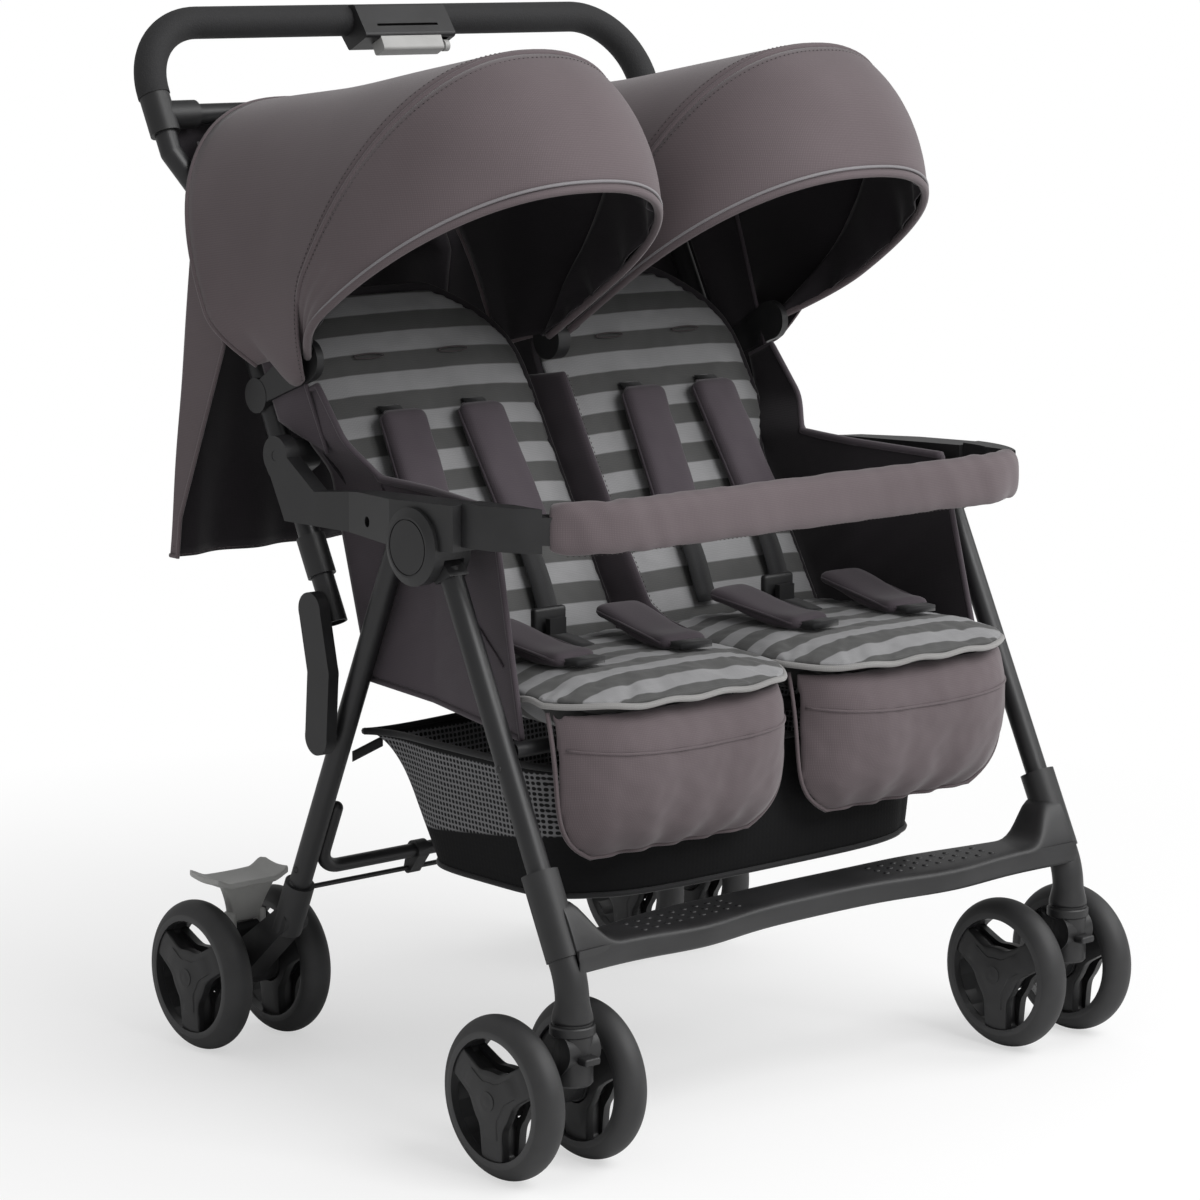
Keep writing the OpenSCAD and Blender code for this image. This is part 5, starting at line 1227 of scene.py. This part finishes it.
# Brake pedal: a grey moulding with a dished tread, turned-up ends and a tapered apron down to its pin.
def tread_spot(u, v, under):
    end = abs(2 * u - 1)
    edge = math.sqrt(max(0.0, 1 - max(0.0, end - 0.9) ** 2 / 0.01))
    return at(-rear_half + 46 * (2 * u - 1), mix(500 - 6 * edge, 536 + 8 * edge - 6 * (1 - end ** 2), v),
              mix(93, 95, v) + 7 * smooth((end - 0.55) / 0.45) - 2 * math.sin(math.pi * v) - (6 if under else 0))


def apron_spot(u, v, under):
    half = mix(15.5, 34, v ** 1.5)
    thick = 13 * mix(1.1, 0.6, v) if under else 0
    return at(-rear_half + half * (2 * u - 1), mix(507, 500, v) + thick - 2 * math.sin(math.pi * u), mix(50, 92, v))


pedal = [pad_form("brake_pedal_tread", *two_faces(tread_spot, False, True), 30, 10, grey_nylon),
         pad_form("brake_pedal_apron", *two_faces(apron_spot, False, True), 16, 10, grey_nylon)]
for k in (-1, 1):
    arm_x = -rear_half + k * 17.8
    pedal.append(rounded_block("brake_pedal_arm_%d" % (k > 0), at(arm_x - 3.3, 502, 32), at(arm_x + 3.3, 518, 60),
                               0.0025, grey_nylon))
for piece in pedal[:2]:
    use_modifier(piece, "BEVEL", width=0.0014, segments=2, limit_method="ANGLE")
    bpy.ops.object.shade_smooth_by_angle(angle=math.radians(40))
for piece, stands_for in zip(pedal, ("brake_pedal", "", "", "")):
    fit(piece, "grey_moulding", "brake_pedal", stands_for)


# Footrest: a moulded tread for each child on the bar, with low studs, whose ends sweep up into the leg sleeves.
# The bar bows and dips between the legs; the tread covers it and leaves a little room.
def bar_middle(s):
    """Half the width of the bar and its middle in the side view, by the share along it from -1 to 1."""
    bow = 1 - s * s
    return mix(20, 30, bow), mix(-25.5, 12, bow), 124 - 6 * bow


tread_high, sweep_high = 12.6, 36


def footrest_ring(s):
    end = abs(s)
    bar_half, bar_y, bar_z = bar_middle(s)
    tread = 9 * math.exp(-((end - 0.5) / 0.2) ** 2)
    depth = bar_half + 2.6 + tread
    sweep = sweep_high * smooth((end - 0.8) / 0.16) ** 2
    ring = []
    for a in turns(40):
        c, d = math.cos(a), math.sin(a)
        across, high = blunt(c, 0.4) * depth, blunt(d, 0.4) * tread_high
        lift = sweep * max(0.0, d) ** 0.4
        narrow = 1 - 0.25 * lift / sweep_high
        ring.append(at(front_half * s, bar_y - 0.4 * tread + across * narrow + 0.45 * lift, bar_z + high + lift))
    return ring


def studs(name, places, radius, high, finish):
    """Low round studs that stand on the given places."""
    spots, faces = [], []
    for place in places:
        k = len(spots)
        for r, rise in ((radius, -0.001), (radius, 0.4 * high), (0.6 * radius, high)):
            spots += [place + Vector((r * math.cos(math.pi * i / 5), r * math.sin(math.pi * i / 5), rise))
                      for i in range(10)]
        faces += [(k + 10 * j + i, k + 10 * j + (i + 1) % 10, k + 10 * j + 10 + (i + 1) % 10, k + 10 * j + 10 + i)
                  for j in range(2) for i in range(10)]
        faces += [tuple(range(k + 9, k - 1, -1)), tuple(range(k + 20, k + 30))]
    return add_piece(name, spots, faces, finish, closed=True)


tread_rings = [footrest_ring(2 * t - 1) for t in steps(120)]
footrest = loft("footrest_tread", tread_rings, black_nylon)
use_modifier(footrest, "BEVEL", width=0.0015, segments=2, limit_method="ANGLE", angle_limit=math.radians(50))
bpy.ops.object.shade_smooth_by_angle(angle=math.radians(40))
stud_places = []
for share in [k * (0.3 + 0.05 * i) for k in (-1, 1) for i in range(9)]:
    bar_half, bar_y, bar_z = bar_middle(share)
    stud_places += [at(front_half * share, bar_y + step, bar_z + 12.4) for step in (-17, -4, 9)]
footrest_studs = studs("footrest_studs", stud_places, 0.0032, 0.0012, black_nylon)
for piece in (footrest, footrest_studs):
    fit(piece, "moulding", "front_frame")


# Lower front legs: a smooth moulded sleeve that bends down to the swivel.
# Each caster has a barrel below it, with a ring and a lock tab.
swivel_y, bend_r = -37, 80


def leg_path():
    """Centre of the lower leg in the side view, from inside the footrest's sleeve down to the swivel."""
    slope = math.atan2(135, 280)
    low_y, low_z = -7, 165
    start = low_z - (low_y - swivel_y) / math.tan(slope) - bend_r * math.tan(slope / 2)
    bend = [(swivel_y + bend_r * (1 - math.cos(a)), start + bend_r * math.sin(a))
            for a in [slope * (1 - share) for share in steps(10)]]
    straight = [(low_y - (low_z - z) * math.tan(slope), z) for z in (142, 136, 130, 124)]
    return straight + bend + [(swivel_y, z) for z in (80, 75, 72, 69.4)]


def lathe(name, x, y, profile, finish):
    """A turned form on an upright axis; profile is (radius, height) from below."""
    rings = [[at(x + r * math.cos(a), y + r * math.sin(a), z) for a in turns(36)] for r, z in profile]
    form = loft(name, rings, finish)
    bpy.ops.object.shade_smooth_by_angle(angle=math.radians(35))
    return form


leg_points = leg_path()
leg_radii = [15.4 + 3.5 * smooth((90 - z) / 20) for y, z in leg_points]
lower_leg = roll("lower_leg_left", [at(front_half, y, z) for y, z in leg_points],
                 lambda s: leg_radii[round(s * (len(leg_points) - 1))] / 1000, black_nylon, sides=32)
barrel_profile = ((17.0, 12), (18.7, 14), (18.7, 57), (19.6, 57.6), (20.6, 58.6), (20.6, 65.4), (19.6, 66.6),
                  (14.0, 66.8))
barrel = lathe("caster_barrel_left", front_half, swivel_y, barrel_profile, black_nylon)
lock_tab = rounded_block("caster_tab_left", at(315, -66, 34), at(333, -53, 41), 0.0022, black_nylon)
fit_pair(lower_leg, "moulding", "front_frame")
for part in (barrel, lock_tab):
    fit_pair(part, "moulding", "caster_{}")


# Rivets: two through each rear leg above its housing and one through each front leg, with painted domed heads.
rivet_r = 3.6
rivet_profile = ((1.0, -0.8), (1.0, 0.5), (0.8, 1.3), (0.45, 1.8), (0.1, 2.0))


def rivet(name, x, y, z):
    rings = [[at(x + rise, y + rivet_r * share * math.cos(a), z + rivet_r * share * math.sin(a)) for a in turns(20)]
             for share, rise in rivet_profile]
    return loft(name, rings, charcoal_paint)


rivets = [("rear_frame", rivet("rear_rivet_%d_left" % n, 296.6, 244 + (485 - z) * 0.4536, z))
          for n, z in enumerate((104, 121))]
rivets += [("front_frame", rivet("front_rivet_left", 334.6, 126 - 0.45 * (450 - 284), 284))]
for body, head in rivets:
    fit_pair(head, "steel", body)
